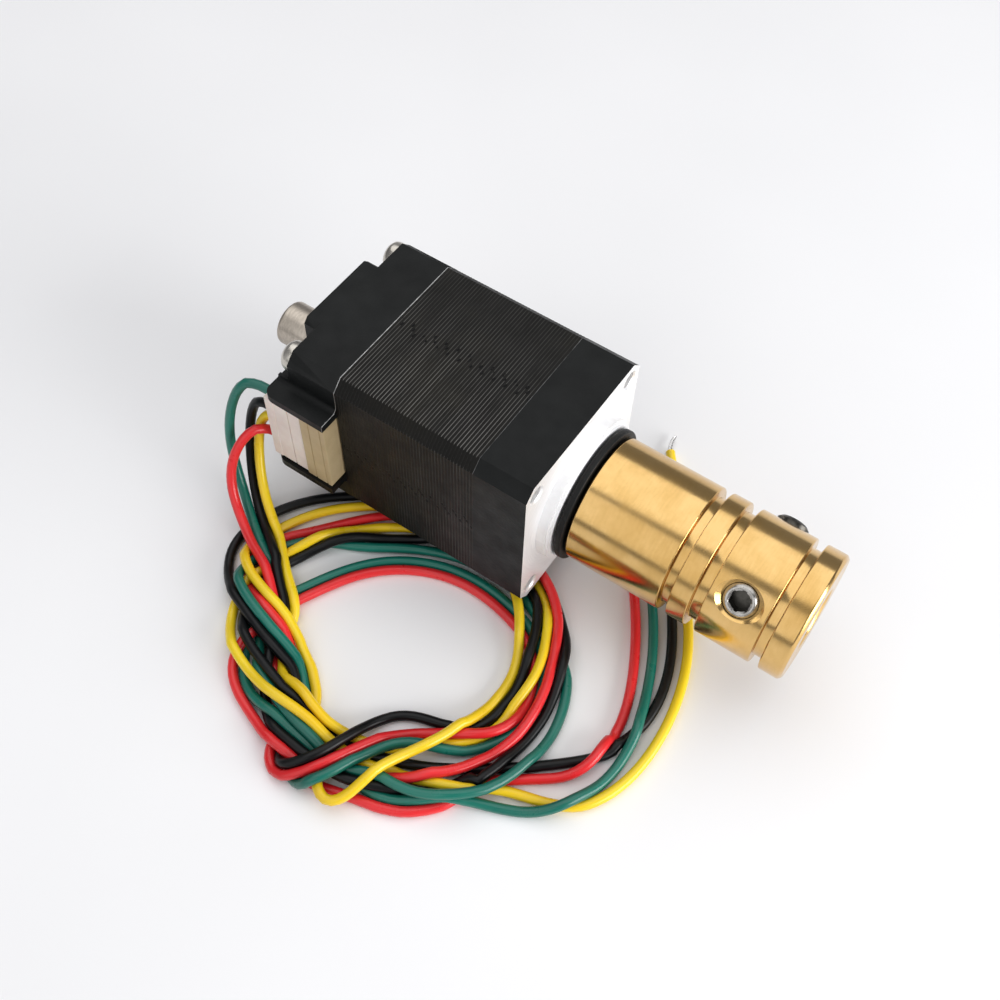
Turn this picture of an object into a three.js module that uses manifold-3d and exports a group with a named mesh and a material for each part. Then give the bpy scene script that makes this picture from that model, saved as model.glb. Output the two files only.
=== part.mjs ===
// Square hybrid stepper motor with a brass clamping sleeve on its output shaft.
// Millimetres, +Z up. The shaft runs along +X, and the mounting face of the motor is the plane X = 0.
// The origin is on the mounting face, on the rim below the shaft.
import * as THREE from "three";
import { mergeVertices } from "three/addons/utils/BufferGeometryUtils.js";
import Module from "manifold-3d";

const wasm = await Module();
wasm.setup();

// ---- driving dimensions ----
const bodySide = 28; // side of the square body
const bodyChamfer = 1.7;
const axisHeight = 12.5; // shaft axis above the origin
const sheetCount = 45; // laminations in the stator stack
const sheetPitch = 0.507;
const frontBellLength = 8.35;
const rearBellLength = 8.2;
const rearBossHeight = 2.35; // middle of the rear bell, proud of its screw corners
const rearBossHalf = 7.2;
const rearBossRound = 0.8;
const screwSpacing = 23;
const screwRadius = 1.25;
const screwHeadRadius = 2.3;
const screwHeadHeight = 2.0;
const screwReach = 4.5; // how far a screw runs into the front bell
const screwRecess = { depth: 0.9, halfLength: 1.2, halfWidth: 0.25 };
const pilotRadius = 11;
const pilotHeight = 2;
const pilotStepHeight = 0.5; // small step round the pilot's outer edge
const pilotStepInset = 0.7;
const shaftRadius = 3.5;
const rearStubEnd = -52.3;
const shaftFrontEnd = 20;
const statorBoreRadius = 7.7;
const slotRadius = 11.9;
const poleCount = 8;
const poleTeeth = 5;
const statorToothDepth = 0.4;
const toothCount = 50;
const rotorRadius = 7.3;
const rotorToothDepth = 0.6;
const rotorEndGap = 0.3; // between the rotor and the ends of the stack
const magnetThickness = 2.4;
const bearingRadius = 7;
const bearingWidth = 4.5;
const ballRadius = 0.9;
const ballPitchRadius = 5.25;
const ballCount = 7;
const raceLand = 0.65; // from the balls' pitch circle to each ring's shoulder
const cageHalfWidth = 1.4;
const cageHalfThickness = 0.25;
const washerInner = 5.6;
const washerOuter = 6.8;
const washerWaves = 3;
const fit = 0.1; // gap between pieces that sit in or on each other
const sleeveRadius = 9.4;
const sleeveStart = 3.6;
const sleeveEnd = 37;
const sleeveGrooveRadius = 8.1;
const sleeveChamfer = 0.35;
const sleeveGrooves = [
  [18.3, 19.7],
  [22.5, 24.1],
  [32.3, 33.7],
];
const socketRadius = 4.1; // takes an 8 mm screw or rod
const socketStart = 22;
const setScrewX = 28.2;
const setScrewAngles = [139.5, 19.5]; // degrees about the shaft, from +Y towards +Z
const setScrewRadius = 2.35;
const setScrewHex = 1.9; // across the corners, as a radius
const setScrewLength = 4.4;
const setScrewSocketDepth = 2;
const spacerRadius = 10.2;
const spacerGap = 0.3; // between the spacer ring and the pilot
const slotHalf = 7.0; // connector slot, half its height
const slotWall = 1.2;
const slotDepthY = -12.6;
const slotBlockY = -10; // inner side of the block that the slot is cut in
const wallRootY = -13;
const wallReachY = -17.3;
const wallRound = 1.6;
const headerLength = 4.4;
const headerFloorThickness = 1.2;
const headerWall = 0.6;
const plugTongue = 0.5; // how far the plug's tongue runs back into its body
const pinLength = 3;
const pinHalf = 0.25;
const pinPitch = 2;
const pinCount = 6;
const wireRadius = 0.75;
const restLift = 3.3; // height of the motor's underside above the surface, on its own wires
const coilCentre = [-10.5, -28.4];
const coilInnerRadius = 13.6;
const coilOuterRadius = 22.6;
const coilHeight = 3;
const coilSteps = 36;
const coarseSteps = 16;
const roundSteps = 32;
const fineSteps = 40;

// ---- places worked out from them ----
const half = bodySide / 2;
const stackLength = sheetCount * sheetPitch;
const stackFront = -frontBellLength;
const stackRear = stackFront - stackLength;
const rearCorner = stackRear - rearBellLength;
const rearEnd = rearCorner - rearBossHeight;
const screwPlaces = [
  [-1, 1],
  [1, 1],
  [1, -1],
  [-1, -1],
].map(([y, z]) => [(y * screwSpacing) / 2, (z * screwSpacing) / 2]);
const restHeight = axisHeight - half - restLift;

// ---- materials ----
const paint = (color, roughness, metalness) =>
  new THREE.MeshStandardMaterial({ color, roughness, metalness });
const blackPaint = paint(0x222423, 0.55, 0.2);
const stackBlack = paint(0x2a2b29, 0.6, 0.3);
const steel = paint(0xb9b6ae, 0.3, 0.95);
const brass = paint(0xd2a04e, 0.3, 0.95);
const copper = paint(0xa85a2c, 0.4, 0.8);
const rubber = paint(0x121212, 0.7, 0);
const ivory = paint(0xe8ddcd, 0.5, 0);
const beige = paint(0xb9a57c, 0.5, 0);
const magnetGrey = paint(0x50504e, 0.5, 0.6);
const wirePaint = {
  green: paint(0x0c6b52, 0.4, 0),
  black: paint(0x151716, 0.4, 0),
  yellow: paint(0xf0cf12, 0.4, 0),
  red: paint(0xd92430, 0.4, 0),
};

// ---- helpers ----
const solidOf = (geometry) => {
  const bare = geometry.clone();
  bare.deleteAttribute("normal");
  bare.deleteAttribute("uv");
  const merged = mergeVertices(bare, 1e-4);
  return new wasm.Manifold(
    new wasm.Mesh({
      numProp: 3,
      vertProperties: new Float32Array(merged.attributes.position.array),
      triVerts: new Uint32Array(merged.index.array),
    }),
  );
};

const geometryOf = (solid) => {
  const mesh = solid.getMesh();
  const geometry = new THREE.BufferGeometry();
  geometry.setAttribute("position", new THREE.BufferAttribute(new Float32Array(mesh.vertProperties), 3));
  geometry.setIndex(new THREE.BufferAttribute(new Uint32Array(mesh.triVerts), 1));
  geometry.computeVertexNormals();
  return geometry;
};

const joined = (...geometries) => geometryOf(geometries.map(solidOf).reduce((a, b) => a.add(b)));
const cut = (base, ...tools) => geometryOf(tools.map(solidOf).reduce((a, b) => a.subtract(b), solidOf(base)));

// A solid of revolution about the X axis, from points [x, radius] that close on themselves or on the axis.
const turned = (points, steps = roundSteps) => {
  const onAxis = points[0][1] === 0;
  const loop = onAxis ? points : [...points, points[0]];
  const geometry = new THREE.LatheGeometry(
    loop.map(([x, r]) => new THREE.Vector2(r, x)),
    steps,
  );
  geometry.rotateZ(-Math.PI / 2);
  return geometry;
};

const ring = (x0, x1, inner, outer, steps = roundSteps) =>
  turned(
    [
      [x0, inner],
      [x0, outer],
      [x1, outer],
      [x1, inner],
    ],
    steps,
  );

const rod = (x0, x1, radius, steps = roundSteps) =>
  turned(
    [
      [x0, 0],
      [x0, radius],
      [x1, radius],
      [x1, 0],
    ],
    steps,
  );

// An outline in the YZ plane, made solid from x0 to x1.
const alongX = new THREE.Matrix4().makeBasis(
  new THREE.Vector3(0, 1, 0),
  new THREE.Vector3(0, 0, 1),
  new THREE.Vector3(1, 0, 0),
);
const prism = (shape, x0, x1, curveSegments = 8) => {
  const geometry = new THREE.ExtrudeGeometry(shape, { depth: x1 - x0, bevelEnabled: false, curveSegments });
  geometry.applyMatrix4(alongX);
  geometry.translate(x0, 0, 0);
  return geometry;
};

const box = (x0, x1, y0, y1, z0, z1) => {
  const geometry = new THREE.BoxGeometry(x1 - x0, y1 - y0, z1 - z0);
  geometry.translate((x0 + x1) / 2, (y0 + y1) / 2, (z0 + z1) / 2);
  return geometry;
};

const polar = (radius, angle) => new THREE.Vector2(radius * Math.cos(angle), radius * Math.sin(angle));

const chamferedSquare = (reach, chamfer) => {
  const flat = reach - chamfer;
  return new THREE.Shape(
    [
      [flat, -reach],
      [reach, -flat],
      [reach, flat],
      [flat, reach],
      [-flat, reach],
      [-reach, flat],
      [-reach, -flat],
      [-flat, -reach],
    ].map(([y, z]) => new THREE.Vector2(y, z)),
  );
};

const circle = (radius, [y, z] = [0, 0]) => new THREE.Path().absarc(y, z, radius, 0, Math.PI * 2);

const root = new THREE.Group();
const motor = new THREE.Group();
motor.position.set(0, 0, axisHeight);
root.add(motor);

const place = (name, geometry, material, parent = motor) => {
  const mesh = new THREE.Mesh(geometry, material);
  mesh.name = name;
  parent.add(mesh);
  return mesh;
};

const screwHoles = (x0, x1, radius) =>
  screwPlaces.map(([y, z]) => {
    const hole = rod(x0, x1, radius, coarseSteps);
    hole.translate(0, y, z);
    return hole;
  });

// ---- end bells ----
const bearingSeatRadius = bearingRadius + fit;
const bossRadius = 8.5;
const frontWall = -3.2; // inner face of the front bell's end wall
const frontBearingX = 0.3; // front face of the front bearing
const rearWall = rearEnd + 5.2; // inner face of the rear bell's end wall
const washerSpace = 0.9;
const rearBearingX = rearEnd + 1.3 + washerSpace; // rear face of the rear bearing
const bearingRelief = 0.2; // space behind each bearing's inner side
const shaftHoleRadius = 4.4;
const weld = 0.5; // how far joined shapes run into each other
const past = 1; // how far a cutting tool runs past the face it opens

function frontEndBell() {
  const shell = joined(
    prism(chamferedSquare(half, bodyChamfer), stackFront, 0),
    turned([
      [-weld, 0],
      [-weld, pilotRadius],
      [pilotHeight - pilotStepHeight, pilotRadius],
      [pilotHeight - pilotStepHeight, pilotRadius - pilotStepInset],
      [pilotHeight, pilotRadius - pilotStepInset],
      [pilotHeight, 0],
    ]),
  );
  return cut(
    shell,
    ring(stackFront - past, frontWall, bossRadius, slotRadius + fit),
    rod(stackFront - past, frontBearingX - bearingWidth - bearingRelief, bossRadius + fit),
    rod(stackFront - past, frontBearingX + fit, bearingSeatRadius),
    rod(stackFront, pilotHeight + past, shaftHoleRadius),
    ...screwHoles(stackFront - past, past, screwRadius + fit / 2),
  );
}

const rearCross = () => {
  const inner = rearBossHalf;
  const round = rearBossRound;
  const shape = new THREE.Shape();
  shape.moveTo(inner - round, -half);
  for (let turn = 0; turn < 4; turn += 1) {
    const at = (y, z) => polar(Math.hypot(y, z), Math.atan2(z, y) + (turn * Math.PI) / 2);
    const points = [
      at(inner, -half + round),
      at(inner, -inner),
      at(half - round, -inner),
      at(half, -inner + round),
    ];
    if (turn > 0) {
      const start = at(inner - round, -half);
      shape.lineTo(start.x, start.y);
    }
    points.forEach((point) => shape.lineTo(point.x, point.y));
  }
  shape.closePath();
  return shape;
};

// A wall of the connector slot, its outer rear corner rounded; it lies flat between two heights.
const slotWallPlate = (z0, z1) => {
  const shape = new THREE.Shape();
  shape.moveTo(stackRear, wallRootY);
  shape.lineTo(rearEnd, wallRootY);
  shape.lineTo(rearEnd, wallReachY + wallRound);
  shape.quadraticCurveTo(rearEnd, wallReachY, rearEnd + wallRound, wallReachY);
  shape.lineTo(stackRear, wallReachY);
  shape.closePath();
  const extrusion = { depth: z1 - z0, bevelEnabled: false, curveSegments: 4 };
  const geometry = new THREE.ExtrudeGeometry(shape, extrusion);
  geometry.translate(0, 0, z0);
  return geometry;
};

function rearEndBell() {
  const shell = joined(
    prism(chamferedSquare(half, bodyChamfer), rearCorner, stackRear),
    prism(rearCross(), rearEnd, rearCorner + weld),
    box(rearEnd, rearCorner + weld, -half, slotBlockY, -slotHalf - slotWall, slotHalf + slotWall),
    slotWallPlate(slotHalf, slotHalf + slotWall),
    slotWallPlate(-slotHalf - slotWall, -slotHalf),
  );
  return cut(
    shell,
    box(rearEnd - past, stackRear + past, wallReachY - past, slotDepthY, -slotHalf, slotHalf),
    ring(rearWall, stackRear + past, bossRadius, slotRadius),
    rod(rearBearingX + bearingWidth + bearingRelief, stackRear + past, bossRadius + fit),
    rod(rearBearingX - washerSpace, stackRear + past, bearingSeatRadius),
    rod(rearEnd - past, stackRear, shaftHoleRadius),
    ...screwHoles(rearEnd - past, stackRear + past, screwRadius + fit),
    ...screwHoles(rearEnd - past, rearCorner, screwHeadRadius + 3 * fit),
  );
}

place("front_end_bell", frontEndBell(), blackPaint);
place("rear_end_bell", rearEndBell(), blackPaint);

// ---- stator ----
// The outline of the bore and the winding slots between the poles.
function slotOutline({ bore, shoe, neckHalf, slot, teeth, toothDepth }) {
  const pitch = (Math.PI * 2) / poleCount;
  const toothPitch = (Math.PI * 2) / toothCount;
  const [toothFrom, toothWidth] = [0.27 * toothPitch, 0.46 * toothPitch];
  const shoeHalf = (poleTeeth * toothPitch) / 2;
  const neckRadius = shoe + 0.4; // where a pole's shoe narrows to its neck
  const cornerRadius = Math.hypot(neckRadius, neckHalf);
  const cornerAngle = Math.atan2(neckHalf, neckRadius);
  const neckAngle = Math.asin(neckHalf / slot);
  const slotSteps = 4;
  const points = [];
  for (let pole = 0; pole < poleCount; pole += 1) {
    const middle = pole * pitch;
    for (let tooth = 0; tooth < teeth; tooth += 1) {
      const start = middle - shoeHalf + tooth * toothPitch + toothFrom;
      const end = start + toothWidth;
      points.push(polar(bore + toothDepth, start), polar(bore, start));
      points.push(polar(bore, end), polar(bore + toothDepth, end));
    }
    if (teeth === 0) {
      points.push(polar(bore, middle - shoeHalf), polar(bore, middle), polar(bore, middle + shoeHalf));
    }
    points.push(polar(shoe, middle + shoeHalf), polar(cornerRadius, middle + cornerAngle));
    for (let step = 0; step <= slotSteps; step += 1) {
      points.push(polar(slot, middle + neckAngle + ((pitch - 2 * neckAngle) * step) / slotSteps));
    }
    points.push(polar(cornerRadius, middle + pitch - cornerAngle), polar(shoe, middle + pitch - shoeHalf));
  }
  const outline = new THREE.Path(points);
  outline.closePath();
  return outline;
}

const poleNeckHalf = 1.4;
const poleShoe = 8.6;
const insulatorThickness = 0.8;
const insulatorNeckHalf = poleNeckHalf + fit;
const insulatorSlot = 11.1;
const insulatorBore = statorBoreRadius + statorToothDepth;
const windingInner = 9.2; // from the shaft's axis
const windingOuter = 10.6;
const windingBuild = 1.15; // thickness of wire round the pole
const windingCorner = 0.3;

function statorStack() {
  const shape = chamferedSquare(half, bodyChamfer);
  shape.holes.push(
    slotOutline({
      bore: statorBoreRadius,
      shoe: poleShoe,
      neckHalf: poleNeckHalf,
      slot: slotRadius,
      teeth: poleTeeth,
      toothDepth: statorToothDepth,
    }),
    ...screwPlaces.map((at) => circle(screwRadius + fit, at)),
  );
  return prism(shape, stackRear, stackFront, 4);
}

function endInsulator(x0) {
  const shape = new THREE.Shape().absarc(0, 0, slotRadius - fit, 0, Math.PI * 2);
  shape.holes.push(
    slotOutline({
      bore: insulatorBore,
      shoe: poleShoe + fit,
      neckHalf: insulatorNeckHalf,
      slot: insulatorSlot,
      teeth: 0,
      toothDepth: 0,
    }),
  );
  return prism(shape, x0, x0 + insulatorThickness, 24);
}

const roundedRectangle = (Kind, width, height, round) => {
  const [w, h] = [width / 2, height / 2];
  const shape = new Kind();
  shape.moveTo(-w + round, -h);
  shape.lineTo(w - round, -h);
  shape.quadraticCurveTo(w, -h, w, -h + round);
  shape.lineTo(w, h - round);
  shape.quadraticCurveTo(w, h, w - round, h);
  shape.lineTo(-w + round, h);
  shape.quadraticCurveTo(-w, h, -w, h - round);
  shape.lineTo(-w, -h + round);
  shape.quadraticCurveTo(-w, -h, -w + round, -h);
  return shape;
};

// A winding round one pole, as a closed band about the pole's neck.
function poleCoil() {
  const loopWidth = 2 * (insulatorNeckHalf + fit);
  const loopLength = stackLength + 2 * (insulatorThickness + fit);
  const shape = roundedRectangle(
    THREE.Shape,
    loopWidth + 2 * windingBuild,
    loopLength + 2 * windingBuild,
    windingBuild,
  );
  shape.holes.push(roundedRectangle(THREE.Path, loopWidth, loopLength, windingCorner));
  const geometry = new THREE.ExtrudeGeometry(shape, {
    depth: windingOuter - windingInner,
    bevelEnabled: false,
    curveSegments: 3,
  });
  geometry.applyMatrix4(
    new THREE.Matrix4().makeBasis(
      new THREE.Vector3(0, 0, 1),
      new THREE.Vector3(1, 0, 0),
      new THREE.Vector3(0, 1, 0),
    ),
  );
  geometry.translate((stackFront + stackRear) / 2, windingInner, 0);
  return geometry;
}

place("stator_stack", statorStack(), stackBlack);
place("front_insulator", endInsulator(stackFront), ivory);
place("rear_insulator", endInsulator(stackRear - insulatorThickness), ivory);
for (let pole = 0; pole < poleCount; pole += 1) {
  const coil = place(`pole_winding_${pole + 1}`, poleCoil(), copper);
  coil.rotation.x = (pole * Math.PI * 2) / poleCount;
}

// ---- bearings ----
const grooveRadius = ballRadius + fit / 2;
const grooveSteps = 3;
const groove = (middle, side) => {
  const land = ballPitchRadius + side * raceLand;
  const reach = Math.acos(raceLand / grooveRadius);
  return Array.from({ length: grooveSteps + 1 }, (_, i) => {
    const angle = -reach + (2 * reach * i) / grooveSteps;
    return [middle + grooveRadius * Math.sin(angle), ballPitchRadius + side * grooveRadius * Math.cos(angle)];
  }).concat([[middle + bearingWidth / 2, land]]);
};

const outerRing = (middle) =>
  turned(
    [
      [middle + bearingWidth / 2, bearingRadius],
      [middle - bearingWidth / 2, bearingRadius],
      [middle - bearingWidth / 2, ballPitchRadius + raceLand],
      ...groove(middle, 1),
    ].reverse(),
  );

const innerRing = (middle) =>
  turned([
    [middle + bearingWidth / 2, shaftRadius + fit / 2],
    [middle - bearingWidth / 2, shaftRadius + fit / 2],
    [middle - bearingWidth / 2, ballPitchRadius - raceLand],
    ...groove(middle, -1),
  ]);

function ballCage(middle) {
  const parts = [
    ring(
      middle - cageHalfWidth,
      middle + cageHalfWidth,
      ballPitchRadius - cageHalfThickness,
      ballPitchRadius + cageHalfThickness,
      ballCount * 4,
    ),
  ];
  const [ballRoundSteps, ballHeightSteps] = [8, 6];
  for (let ball = 0; ball < ballCount; ball += 1) {
    const sphere = new THREE.SphereGeometry(ballRadius, ballRoundSteps, ballHeightSteps);
    const at = polar(ballPitchRadius, (ball * Math.PI * 2) / ballCount);
    sphere.translate(middle, at.x, at.y);
    parts.push(sphere);
  }
  return joined(...parts);
}

const frontBearingMiddle = frontBearingX - bearingWidth / 2;
const rearBearingMiddle = rearBearingX + bearingWidth / 2;
for (const [end, middle] of [
  ["front", frontBearingMiddle],
  ["rear", rearBearingMiddle],
]) {
  place(`${end}_bearing_outer_ring`, outerRing(middle), steel);
  place(`${end}_bearing_inner_ring`, innerRing(middle), steel);
  place(`${end}_bearing_balls`, ballCage(middle), steel);
}

// A thin ring with three waves, which pushes the rear bearing forward.
function waveWasher() {
  const [thickness, wave, steps] = [0.25, 0.22, 24];
  const middle = rearBearingX - washerSpace / 2;
  const geometry = ring(middle - thickness / 2, middle + thickness / 2, washerInner, washerOuter, steps);
  const position = geometry.attributes.position;
  for (let i = 0; i < position.count; i += 1) {
    const angle = Math.atan2(position.getZ(i), position.getY(i));
    position.setX(i, position.getX(i) + wave * Math.cos(washerWaves * angle));
  }
  return geometry;
}
place("wave_washer", waveWasher(), steel);

// ---- rotor ----
const rotorBoreRadius = 4.4;
const rotorFront = stackFront - rotorEndGap;
const rotorRear = stackRear + rotorEndGap;
const cupLength = (rotorFront - rotorRear - magnetThickness) / 2 - fit;

function rotorCup() {
  const pitch = (Math.PI * 2) / toothCount;
  const [flank, tip, base] = [0.06 * pitch, 0.46 * pitch, 0.52 * pitch];
  const points = [];
  for (let tooth = 0; tooth < toothCount; tooth += 1) {
    const start = tooth * pitch;
    points.push(
      polar(rotorRadius - rotorToothDepth, start),
      polar(rotorRadius, start + flank),
      polar(rotorRadius, start + tip),
      polar(rotorRadius - rotorToothDepth, start + base),
    );
  }
  const shape = new THREE.Shape(points);
  shape.holes.push(circle(rotorBoreRadius + fit));
  return prism(shape, 0, cupLength, 12);
}

const frontCup = place("rotor_cup_front", rotorCup(), magnetGrey);
frontCup.position.x = rotorFront - cupLength;
const rearCup = place("rotor_cup_rear", rotorCup(), magnetGrey);
rearCup.position.x = rotorRear;
rearCup.rotation.x = Math.PI / toothCount;
place(
  "rotor_magnet",
  ring(rotorRear + cupLength + fit, rotorFront - cupLength - fit, rotorBoreRadius + fit, rotorRadius - 1),
  magnetGrey,
);

// ---- shaft ----
const seatRear = rearBearingMiddle + bearingWidth / 2 + fit;
const seatFront = frontBearingMiddle - bearingWidth / 2 - fit;
const stubChamfer = 0.6;
const frontChamfer = 0.5;
place(
  "rotor_shaft",
  turned([
    [rearStubEnd, 0],
    [rearStubEnd, shaftRadius - stubChamfer],
    [rearStubEnd + stubChamfer, shaftRadius],
    [seatRear, shaftRadius],
    [seatRear, rotorBoreRadius],
    [seatFront, rotorBoreRadius],
    [seatFront, shaftRadius],
    [shaftFrontEnd - frontChamfer, shaftRadius],
    [shaftFrontEnd, shaftRadius - frontChamfer],
    [shaftFrontEnd, 0],
  ]),
  steel,
);

// ---- sleeve on the output shaft ----
const aboutShaft = (geometry, degrees) => geometry.rotateX(THREE.MathUtils.degToRad(degrees));

// A tool or screw body that points outwards along +Y, from one distance off the axis to another.
const outwards = (from, to, radius, steps = coarseSteps) => {
  const geometry = new THREE.CylinderGeometry(radius, radius, to - from, steps);
  geometry.translate(setScrewX, (from + to) / 2, 0);
  return geometry;
};

const setScrewHole = (angle) =>
  aboutShaft(outwards(past, sleeveRadius + past, setScrewRadius + fit), angle);

// The cone that opens a set screw's hole; it runs past the sleeve's surface.
const countersink = (angle) => {
  const [from, to] = [sleeveRadius - 0.85, sleeveRadius + 0.65];
  const mouth = setScrewRadius + 1.05;
  const geometry = new THREE.CylinderGeometry(mouth, setScrewRadius + fit, to - from, coarseSteps);
  geometry.translate(setScrewX, (from + to) / 2, 0);
  return aboutShaft(geometry, angle);
};

function brassSleeve() {
  const profile = [
    [sleeveStart, 0],
    [sleeveStart, sleeveRadius - sleeveChamfer],
    [sleeveStart + sleeveChamfer, sleeveRadius],
  ];
  for (const [from, to] of sleeveGrooves) {
    profile.push([from, sleeveRadius], [from, sleeveGrooveRadius]);
    profile.push([to, sleeveGrooveRadius], [to, sleeveRadius]);
  }
  profile.push(
    [sleeveEnd - sleeveChamfer, sleeveRadius],
    [sleeveEnd, sleeveRadius - sleeveChamfer],
    [sleeveEnd, 0],
  );
  return cut(
    turned(profile, fineSteps),
    rod(sleeveStart - past, socketStart, shaftRadius + fit),
    rod(socketStart - fit, sleeveEnd + past, socketRadius),
    ...setScrewAngles.map(setScrewHole),
    ...setScrewAngles.map(countersink),
  );
}

// A cup-point set screw with a hexagon socket in its outer end.
const setScrew = (from, to) =>
  cut(outwards(from, to, setScrewRadius), outwards(to - setScrewSocketDepth, to + past, setScrewHex, 6));

place("brass_sleeve", brassSleeve(), brass);
const flushEnd = sleeveRadius - 0.5;
const proudEnd = sleeveRadius + 0.75;
place("set_screw_1", aboutShaft(setScrew(flushEnd - setScrewLength, flushEnd), setScrewAngles[0]), steel);
place("set_screw_2", aboutShaft(setScrew(proudEnd - setScrewLength, proudEnd), setScrewAngles[1]), steel);
place(
  "spacer_ring",
  ring(pilotHeight + spacerGap, sleeveStart - fit, shaftRadius + fit, spacerRadius, fineSteps),
  rubber,
);

// ---- through screws, driven in from the rear ----
function bodyScrew() {
  const shankEnd = stackFront + screwReach;
  const headEnd = rearCorner - screwHeadHeight;
  const { depth, halfLength, halfWidth } = screwRecess;
  const [headRound, tipChamfer, steps] = [0.5, 0.4, 20];
  const recess = box(headEnd - past, headEnd + depth, -halfLength, halfLength, -halfWidth, halfWidth);
  const crossed = recess.clone().rotateX(Math.PI / 2);
  return cut(
    turned(
      [
        [headEnd, 0],
        [headEnd, screwHeadRadius - headRound],
        [headEnd + headRound, screwHeadRadius],
        [rearCorner - fit / 2, screwHeadRadius],
        [rearCorner - fit / 2, screwRadius],
        [shankEnd - tipChamfer, screwRadius],
        [shankEnd, screwRadius - tipChamfer],
        [shankEnd, 0],
      ],
      steps,
    ),
    recess,
    crossed,
  );
}

screwPlaces.forEach(([y, z], i) => {
  const screw = place(`body_screw_${i + 1}`, bodyScrew(), steel);
  screw.position.set(0, y, z);
});

// ---- connector in the slot of the rear bell ----
const pinHeights = Array.from({ length: pinCount }, (_, i) => (i - (pinCount - 1) / 2) * pinPitch);
const connectorBack = slotDepthY - fit; // side against the bell
const connectorFace = -16.9;
const pinY = (connectorBack + connectorFace) / 2;
const headerFront = stackRear - 0.3;
const headerMouth = headerFront - headerLength;
const headerFloor = headerFront - headerFloorThickness;
const plugRear = rearEnd - 0.4;
const plugHalf = slotHalf - 0.4;
const plugTip = headerFloor - 0.3; // end of the plug's tongue, inside the header

place(
  "connector_header",
  cut(
    box(headerMouth, headerFront, connectorFace, connectorBack, -slotHalf + fit, slotHalf - fit),
    box(
      headerMouth - past,
      headerFloor,
      connectorFace + headerWall,
      connectorBack - headerWall,
      -slotHalf + fit + headerWall,
      slotHalf - fit - headerWall,
    ),
  ),
  beige,
);

const plugTongueHalf = slotHalf - 2 * fit - headerWall;
place(
  "connector_plug",
  cut(
    joined(
      box(plugRear, headerMouth - fit, connectorFace + fit, connectorBack - fit, -plugHalf, plugHalf),
      box(
        headerMouth - plugTongue,
        plugTip,
        connectorFace + headerWall + fit,
        connectorBack - headerWall - fit,
        -plugTongueHalf,
        plugTongueHalf,
      ),
    ),
    ...pinHeights.map((z) => {
      const hole = rod(plugRear - past, headerFront, wireRadius + fit, 12);
      hole.translate(0, pinY, z);
      return hole;
    }),
  ),
  ivory,
);
pinHeights.forEach((z, i) => {
  place(
    `connector_pin_${i + 1}`,
    box(
      headerFloor - pinLength,
      headerFloor - fit / 2,
      pinY - pinHalf,
      pinY + pinHalf,
      z - pinHalf,
      z + pinHalf,
    ),
    brass,
  );
});

// ---- the four leads: from the plug down to a coil on the surface, round it, and away under the sleeve ----
const leadBottom = restHeight + wireRadius + fit / 2; // centre of a lead that lies on the surface
const onSurface = ([x, y]) => [x, y, leadBottom];
const leadRoutes = {
  green: {
    fromPlug: [
      [-40.9, -14.8, 17.5],
      [-42.4, -14.8, 17.5],
      [-44.8, -14.9, 17.6],
      [-47.0, -15.7, 17.3],
      [-48.6, -17.2, 15.4],
      [-49.0, -19.0, 11.8],
      [-47.8, -20.4, 7.6],
      [-44.9, -22.6, 2.6],
      [-41.4, -25.6, -0.8],
      [-38.4, -28.4, -2.8],
      [-35.6, -30.2, -3.6],
    ],
    toEnd: [
      [12.8, -36.2],
      [16.9, -33.8],
      [20.3, -30.6],
      [22.5, -26.2],
      [23.0, -21.0],
      [22.2, -14.6],
      [19.6, -8.0],
      [14.8, -1.2],
      [10.0, 5.0],
      [6.2, 11.4],
      [3.2, 15.8],
    ],
  },
  black: {
    fromPlug: [
      [-40.9, -14.8, 13.5],
      [-42.4, -14.8, 13.5],
      [-44.8, -14.8, 13.5],
      [-46.7, -15.6, 12.6],
      [-47.0, -17.0, 10.4],
      [-45.8, -18.6, 7.2],
      [-43.4, -20.6, 3.4],
      [-40.6, -23.2, 0.2],
      [-38.0, -26.0, -2.2],
      [-35.5, -28.1, -3.6],
    ],
    toEnd: [
      [11.0, -39.6],
      [15.0, -37.9],
      [19.0, -35.2],
      [22.5, -31.0],
      [24.7, -26.2],
      [25.1, -21.0],
      [24.4, -14.2],
      [21.8, -7.0],
      [17.0, 0.0],
      [12.2, 6.4],
      [8.2, 12.8],
      [4.6, 18.0],
    ],
  },
  yellow: {
    fromPlug: [
      [-40.9, -14.8, 11.5],
      [-42.4, -14.8, 11.5],
      [-44.0, -14.8, 11.3],
      [-45.1, -15.7, 9.8],
      [-44.4, -17.1, 7.7],
      [-43.0, -18.7, 3.8],
      [-40.3, -20.8, 0.4],
      [-37.8, -23.6, -2.2],
      [-35.2, -26.0, -3.6],
    ],
    toEnd: [
      [9.4, -42.9],
      [13.0, -41.0],
      [17.6, -38.8],
      [21.4, -35.2],
      [24.9, -30.8],
      [26.9, -26.0],
      [27.2, -20.6],
      [26.4, -13.6],
      [23.8, -6.0],
      [19.2, 1.4],
      [14.4, 8.0],
      [10.6, 14.2],
      [6.6, 19.8],
      [3.6, 23.8],
    ],
  },
  red: {
    fromPlug: [
      [-40.9, -14.8, 7.5],
      [-42.4, -14.8, 7.5],
      [-44.6, -15.0, 7.3],
      [-46.9, -17.2, 6.2],
      [-48.4, -20.6, 5.0],
      [-48.0, -22.9, 4.2],
      [-46.0, -25.6, 3.4],
      [-42.2, -28.4, 1.0],
      [-38.8, -30.9, -1.6],
      [-35.8, -32.4, -3.2],
    ],
    toEnd: [
      [14.8, -33.2],
      [18.0, -29.6],
      [20.3, -26.0],
      [20.9, -21.0],
      [20.0, -15.0],
      [17.5, -9.0],
      [12.8, -2.4],
      [8.0, 3.8],
      [4.8, 8.6],
    ],
  },
};

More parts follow.
